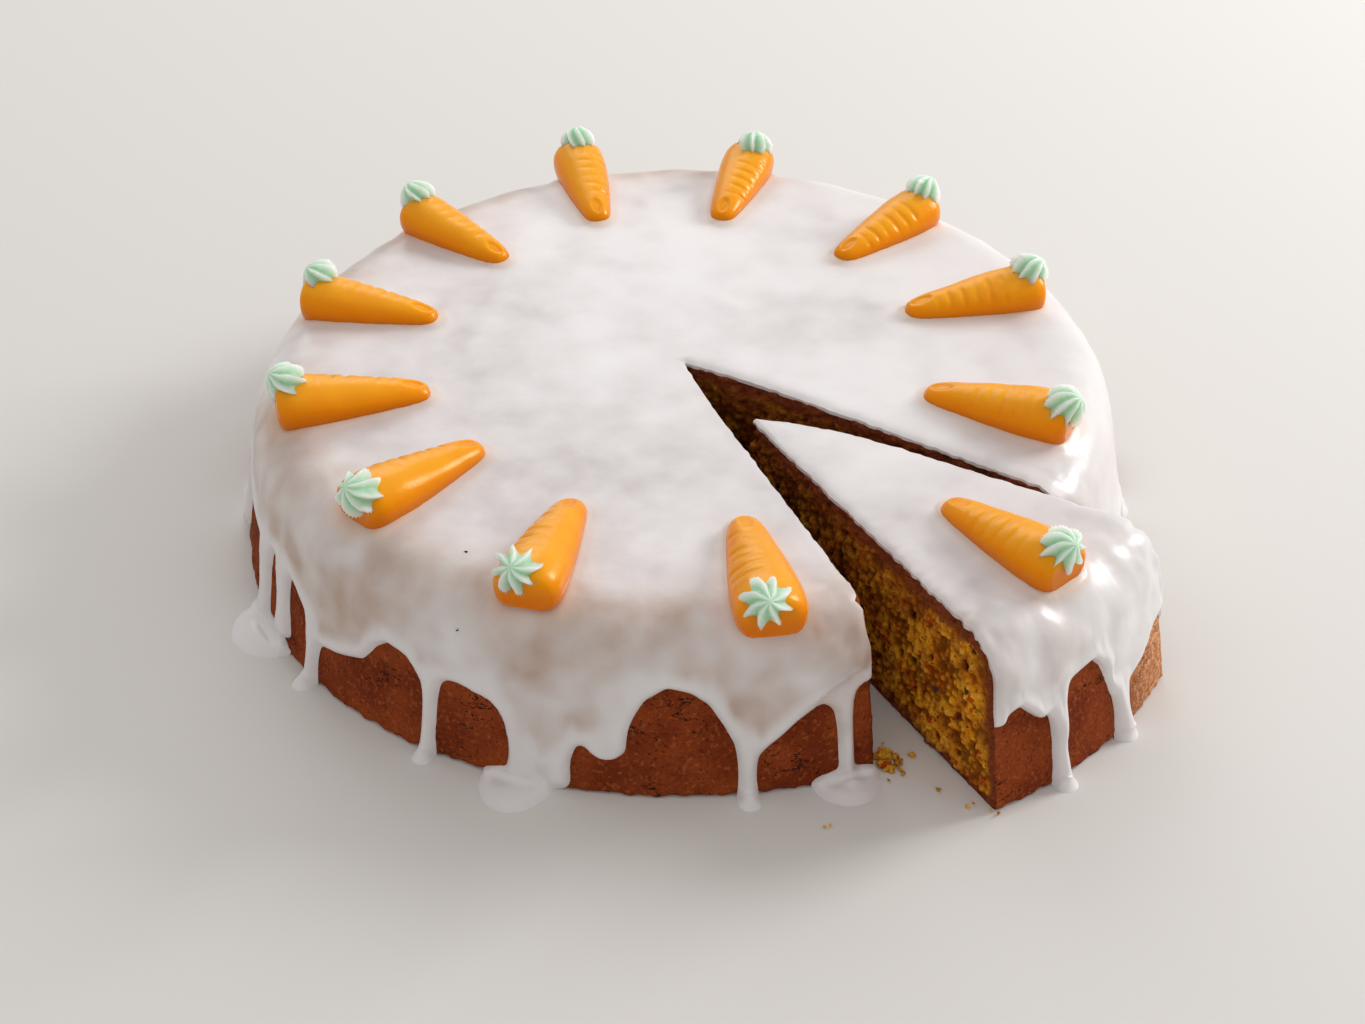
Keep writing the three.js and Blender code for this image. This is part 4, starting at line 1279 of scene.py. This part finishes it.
def carrot_place(index):
    """Where a carrot lies, as a matrix from its own frame, tip at the origin and crown along X."""
    angle, distance, turn, size = CARROTS[index]
    angle = math.radians(angle)
    spot = Vector((distance * math.cos(angle), distance * math.sin(angle), CARROT_SEAT)) * MM
    heading = Matrix.Rotation(angle + math.radians(turn), 4, "Z")
    matrix = Matrix.Translation(spot) @ heading @ Matrix.Scale(size, 4)
    if index == SLICE_CARROT:
        out = Vector((math.cos(SLICE_OUT_ANGLE), math.sin(SLICE_OUT_ANGLE), 0)) * SLICE_OUT * MM
        matrix = Matrix.Translation(out) @ Matrix.Rotation(SLICE_TURN, 4, "Z") @ matrix
    return matrix


CARROT_SIZES = {
    "Length": CARROT_LENGTH * MM,
    "Tip": CARROT_TIP * MM,
    "Crown": CARROT_CROWN * MM,
    "Flatten": CARROT_FLATTEN,
    "Sink": CARROT_SINK * MM,
    "Pitch": GROOVE_PITCH * MM,
    "Groove": GROOVE_DEPTH * MM,
}
CARROT_PHASE = 1.7
rolled_carrot = carrot_tree(marzipan())
for index in range(len(CARROTS)):
    number = f"{index + 1:02d}"
    sizes = {**CARROT_SIZES, "Phase": CARROT_PHASE * index}
    carrot = grown("marzipan_carrot_" + number, rolled_carrot, sizes)
    carrot.data.transform(carrot_place(index))
    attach(carrot, "root")
    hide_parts("carrot_" + number)

# The green tops: pale green icing piped from a star nozzle onto the upper edge of each crown. The nozzle
# leaves sharp ridges that turn a little and draw together to a point as it is lifted off.
TUFT_RADIUS = 6.4
TUFT_HEIGHT = 9.6
TUFT_RIDGES = 8
TUFT_GROOVE = 0.4
TUFT_TWIST = math.radians(32)
TUFT_LEAN = math.radians(48)
TUFT_FROM_CROWN = 5.6
TUFT_SEAT = 6.8
TUFT_RINGS = 44
TUFT_SIDES = 112
# From the foot to the point, by part of the height: the outline, how wide the valleys are, and how deep.
TUFT_OUTLINE = [
    (0, 0.5), (0.1, 0.74), (0.22, 0.94), (0.35, 1.0), (0.52, 0.97), (0.7, 0.82), (0.84, 0.6), (0.94, 0.33),
    (1, 0.04),
]
TUFT_VALLEY = [(0, 0.18), (0.4, 0.18), (0.7, 0.24), (1, 0.3)]
VALLEY_POWER = 4.0
TUFT_DEEP = [(0, 1.0), (0.3, 1.0), (0.65, 0.95), (1, 0.8)]
TUFT_UNEVEN = 0.04
UNEVEN_WAVES = 3.0
TUFT_LUMP = 5
TUFT_SHIFT = 1.4
TUFT_SPIN = 0.7
TUFT_PHASE = 2.3
# How far each top sits off its usual place: [outward, aside].
TUFT_OFF = [
    [0.8, -0.5], [-1.5, -1.5], [1.2, 0], [-1.0, 0], [0.4, -1.5], [0, 0],
    [1.6, -1.8], [0.2, -1.9], [1.8, 2.0], [-0.8, -1.2], [-1.6, -2.2], [1.2, -0.6],
]


def tuft_tree(material):
    """A piped top that stands up along Z."""
    tree, size = new_shape("piped_top", ["Radius", "Height", "Ridges", "Groove", "Twist", "Phase"])
    point = add(tree, JOIN, {"Z": size["Height"]})
    body = swept(tree, point, TUFT_RINGS, TUFT_OUTLINE, size["Radius"], TUFT_SIDES)

    place = add(tree, POSITION, [])
    at = add(tree, SPLIT, [place]).node.outputs
    share = add(tree, MATHS, [at["Z"], size["Height"]], operation="DIVIDE")
    turn = add(tree, MATHS, [at["Y"], at["X"]], operation="ARCTAN2")
    turn = add(tree, MATHS, [share, size["Twist"], turn], operation="MULTIPLY_ADD")
    wave = add(tree, MATHS, [turn, size["Ridges"]], operation="MULTIPLY")
    wave = add(tree, MATHS, [wave, 0.5], operation="MULTIPLY")
    wave = add(tree, MATHS, [wave], operation="COSINE")
    wave = add(tree, MATHS, [wave], operation="ABSOLUTE")
    narrow = add(tree, CURVE, {"Value": share}, curve=TUFT_VALLEY)
    narrow = add(tree, MATHS, [narrow, VALLEY_POWER], operation="MULTIPLY")
    valley = add(tree, MATHS, [wave, narrow], operation="POWER")
    star = add(tree, MATHS, [valley, size["Groove"]], operation="MULTIPLY")
    star = add(tree, MATHS, [star, add(tree, CURVE, {"Value": share}, curve=TUFT_DEEP)], operation="MULTIPLY")
    uneven = add(tree, MATHS, [turn, UNEVEN_WAVES, size["Phase"]], operation="MULTIPLY_ADD")
    uneven = add(tree, MATHS, [uneven], operation="SINE")
    uneven = add(tree, MATHS, [uneven, TUFT_UNEVEN, 1.0], operation="MULTIPLY_ADD")
    star = add(tree, MATHS, [uneven, star], operation="SUBTRACT")
    shaped = add(tree, VECTORS, [place, add(tree, JOIN, [star, star, 1.0])], operation="MULTIPLY")
    lump = {"Vector": place, "Scale": per_metre(TUFT_LUMP), "W": size["Phase"]}
    lump = add(tree, NOISE, lump, "Color", noise_dimensions="4D")
    shift = add(tree, VECTORS, [lump, (0.5, 0.5, 0.5)], operation="SUBTRACT")
    shift = add(tree, VECTORS, {0: shift, "Scale": TUFT_SHIFT * MM}, operation="SCALE")
    # The valleys, kept for the painted shade in the grooves.
    body = add(tree, STORE, {"Geometry": body, "Name": "groove", "Value": valley})
    body = add(tree, SET_POSITION, {"Geometry": body, "Position": shaped, "Offset": shift})
    finish_shape(tree, body, material)
    return tree


MINT = ("#dcf0de", "#f0faf0")
MINT_GROOVE_SHADE = "#b0d6b6"
MINT_CLOUD = 5
MINT_GRAIN = 0.9


# Piped icing: mint green royal icing, smooth from the nozzle, soft gloss on the ridges, and the grooves
# painted a deeper green as painted shade.
def piped_icing():
    material = new_material("mint_piped_icing")
    tree = material.node_tree
    place = add(tree, PLACE, [], "Object")
    cloud = add(tree, NOISE, {"Vector": place, "Scale": per_metre(MINT_CLOUD), "Detail": 2.0})
    grain = add(tree, NOISE, {"Vector": place, "Scale": per_metre(MINT_GRAIN), "Detail": 2.0})
    groove = add(tree, VALUE, [], "Fac", attribute_name="groove")
    colour = add(tree, MIX, [cloud, *(to_linear(mint) for mint in MINT)])
    colour = add(tree, MIX, [groove, colour, to_linear(MINT_GROOVE_SHADE)])
    bump = add(tree, BUMP, {"Strength": 0.1, "Distance": 0.4 * MM, "Height": grain})
    finish = {"Roughness": 0.38, "IOR": 1.45, "Subsurface Weight": 0.8}
    finish |= {"Subsurface Radius": (0.85, 1.0, 0.85), "Subsurface Scale": 7 * MM}
    finish_material(tree, colour, finish, bump)
    return material


TUFT_SIZES = {
    "Radius": TUFT_RADIUS * MM,
    "Height": TUFT_HEIGHT * MM,
    "Ridges": TUFT_RIDGES,
    "Groove": TUFT_GROOVE,
    "Twist": TUFT_TWIST,
}
piped_top = tuft_tree(piped_icing())
for index in range(len(CARROTS)):
    number = f"{index + 1:02d}"
    sizes = {**TUFT_SIZES, "Phase": TUFT_PHASE * index}
    tuft = grown("piped_top_" + number, piped_top, sizes)
    outward, aside = TUFT_OFF[index]
    on_crown = Vector((CARROT_LENGTH - TUFT_FROM_CROWN + outward, aside, TUFT_SEAT)) * MM
    turned = Matrix.Rotation(TUFT_LEAN, 4, "Y") @ Matrix.Rotation(TUFT_SPIN * index, 4, "Z")
    tuft.data.transform(carrot_place(index) @ Matrix.Translation(on_crown) @ turned)
    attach(tuft, "root")
    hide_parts("tuft_" + number)

# Crumbs: bits of sponge that fell when the slice was drawn out. Most lie in a heap between the cake and the
# slice, a few have rolled in front of them, and single specks of crust stick to the icing.
# Heaps: [middle x, middle y, half length, half width, bits in a square centimetre].
CRUMB_HEAPS = [
    [52.5, -114, 2.2, 2.6, 60], [55, -117.5, 3.2, 3.0, 45], [54, -117, 7.5, 8.5, 7],
    [66.1, -127.4, 1.5, 1.2, 40], [72.8, -133, 2.2, 1.2, 30], [79.5, -135.6, 1.6, 1.2, 30],
    [36.8, -141.1, 1.4, 1.0, 40],
]
HEAP_SIDES = 24
CRUMB_SIZE = 0.62
CRUMB_LIES = 0.4
# A bit's growth: [smallest, what chance adds], how rare large bits are, and how much smaller specks are.
CRUMB_GROWS = [0.55, 2.0]
CRUMB_RARE = 2.5
SPECK_SMALLER = 0.6
CRUMB_SPIN = (6.28, 6.28, 6.28)
CRUMB_BROKEN = 1.1
CRUMB_SHIFT = 1.9
CRUMB_MIDDLE = (0.5, 0.5, 0.35)
# No crumb is lower than just above the floor.
CRUMB_LOWEST = (-1.0, -1.0, 0.00005)
# What the sponge's material reads on a crumb: it is cut, far from the crust, and takes the full painted light
# of a lump.
CRUMB_VALUES = {"cut": 1.0, "skin": 0.05, "lit": 1.0}
# Specks of crust: [x, y, z].
SPECKS = [[-58.1, -110.5, 40.3], [-56.8, -89.7, 49.9]]
SPECK_AREA = 0.3
SPECK_BITS = 700
PER_SQUARE_METRE = 1e4


def crumb_tree(material):
    """Broken bits, strewn on a ground as densely as its own value says."""
    tree, _ = new_shape("fallen_crumbs", [])
    tree.interface.new_socket("Ground", in_out="INPUT", socket_type="NodeSocketGeometry")
    tree.interface.new_socket("Size", in_out="INPUT", socket_type="NodeSocketFloat")
    size = tree.nodes["Group Input"].outputs
    density = add(tree, "GeometryNodeInputNamedAttribute", {"Name": "bits"})
    speck = add(tree, "GeometryNodeInputNamedAttribute", {"Name": "nut"})
    where = {"Mesh": size["Ground"], "Density": density, "Seed": 5}
    where = add(tree, "GeometryNodeDistributePointsOnFaces", where)
    ball = add(tree, "GeometryNodeMeshIcoSphere", {"Radius": size["Size"], "Subdivisions": 3})
    spin = {0: (0.0, 0.0, 0.0), 1: CRUMB_SPIN, "Seed": 3}
    spin = add(tree, "FunctionNodeRandomValue", spin, data_type="FLOAT_VECTOR")
    chance = add(tree, "FunctionNodeRandomValue", {"Seed": 7}, 1, data_type="FLOAT")
    grow = add(tree, MATHS, [chance, CRUMB_RARE], operation="POWER")
    grow = add(tree, MATHS, [grow, CRUMB_GROWS[1], CRUMB_GROWS[0]], operation="MULTIPLY_ADD")
    smaller = add(tree, MATHS, [speck, -SPECK_SMALLER, 1.0], operation="MULTIPLY_ADD")
    grow = add(tree, MATHS, [grow, smaller], operation="MULTIPLY")
    bits = {"Points": where, "Instance": ball, "Rotation": spin, "Scale": grow}
    bits = add(tree, "GeometryNodeInstanceOnPoints", bits)
    bits = add(tree, "GeometryNodeRealizeInstances", [bits])
    place = add(tree, POSITION, [])
    shift = {"Vector": place, "Scale": per_metre(CRUMB_BROKEN), "Detail": 2.0}
    shift = add(tree, NOISE, shift, "Color")
    shift = add(tree, VECTORS, [shift, CRUMB_MIDDLE], operation="SUBTRACT")
    shift = add(tree, VECTORS, {0: shift, "Scale": CRUMB_SHIFT * MM}, operation="SCALE")
    bits = add(tree, SET_POSITION, {"Geometry": bits, "Offset": shift})
    above = add(tree, VECTORS, [place, CRUMB_LOWEST], operation="MAXIMUM")
    bits = add(tree, SET_POSITION, {"Geometry": bits, "Position": above})
    for name, value in CRUMB_VALUES.items():
        bits = add(tree, STORE, {"Geometry": bits, "Name": name, "Value": value})
    finish_shape(tree, bits, material)
    return tree


ground, ovals, bits, dark = [], [], [], []
around = np.linspace(0, 2 * np.pi, HEAP_SIDES, endpoint=False)
heaps = [[x, y, CRUMB_LIES, *rest, 0.0] for x, y, *rest in CRUMB_HEAPS]
heaps += [[*speck, SPECK_AREA, SPECK_AREA, SPECK_BITS, 1.0] for speck in SPECKS]
for x, y, z, long, wide, density, nut in heaps:
    ovals.append(list(range(len(bits), len(bits) + len(around))))
    ground.append(np.stack([x + long * np.cos(around), y + wide * np.sin(around), 0 * around + z], -1))
    bits += [density * PER_SQUARE_METRE] * len(around)
    dark += [nut] * len(around)
values = {"bits": np.array(bits), "nut": np.array(dark)}
crumbs = new_piece("crumbs", np.concatenate(ground) * MM, ovals, values, SPONGE_MATERIAL)
grow_on(crumbs, crumb_tree(SPONGE_MATERIAL), {"Size": CRUMB_SIZE * MM})
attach(crumbs, "root")

# Floor, window light and camera. The light is a large soft window high behind the cake to the right, with a
# pale room in front that fills the shade.
FLOOR_SIZE = 8
CAMERA_PLACE = (-0.00049, -0.56989, 0.42672)
CAMERA_DOWN = math.radians(37.157)
CAMERA_ROLL = math.radians(0.215)
FOCAL_LENGTH = 61.98
SENSOR_WIDTH = 36.0
NEAREST_SEEN = 0.01
LIGHT_AIM = (0, 0, 0.03)
# Lights: [name, place, size, power, colour].
LIGHTS = [
    ["window", (1.18, 0.52, 0.68), 0.55, 12.5, (1.0, 0.995, 1.0)],
    ["room", (-0.25, 1.15, 0.9), 1.0, 4.4, (1.0, 1.0, 1.0)],
]
ROOM_COLOUR = (1.0, 0.975, 0.965, 1.0)
ROOM_STRENGTH = 0.61

# Matt paint: pale and even, without gloss, so that only soft shade lies on it.
matt_floor = new_material("pale_matt_floor")
finish_material(matt_floor.node_tree, to_linear("#dfdcd7"), {"Roughness": 0.75})
corners = np.array([[-1, -1, 0], [1, -1, 0], [1, 1, 0], [-1, 1, 0]]) * FLOOR_SIZE / 2
floor = new_piece("floor", corners, [[0, 1, 2, 3]], {}, matt_floor)

for name, place, size, power, colour in LIGHTS:
    lamp = bpy.data.lights.new(name, "AREA")
    lamp.shape = "DISK"
    lamp.size, lamp.energy, lamp.color = size, power, colour
    holder = bpy.data.objects.new(name, lamp)
    holder.location = place
    holder.rotation_euler = (Vector(LIGHT_AIM) - Vector(place)).to_track_quat("-Z", "Y").to_euler()
    bpy.context.scene.collection.objects.link(holder)

world = bpy.data.worlds.new("pale_room")
world.use_nodes = True
room = world.node_tree.nodes["Background"].inputs
room["Color"].default_value = ROOM_COLOUR
room["Strength"].default_value = ROOM_STRENGTH
bpy.context.scene.world = world
bpy.context.scene.view_settings.view_transform = "Standard"

camera = bpy.data.objects.new("camera", bpy.data.cameras.new("camera"))
camera.data.sensor_width = SENSOR_WIDTH
camera.data.lens = FOCAL_LENGTH
camera.data.clip_start = NEAREST_SEEN
camera.location = CAMERA_PLACE
level = Matrix.Rotation(math.pi / 2 - CAMERA_DOWN, 4, "X") @ Matrix.Rotation(-CAMERA_ROLL, 4, "Z")
camera.rotation_euler = level.to_euler()
bpy.context.scene.collection.objects.link(camera)
bpy.context.scene.camera = camera
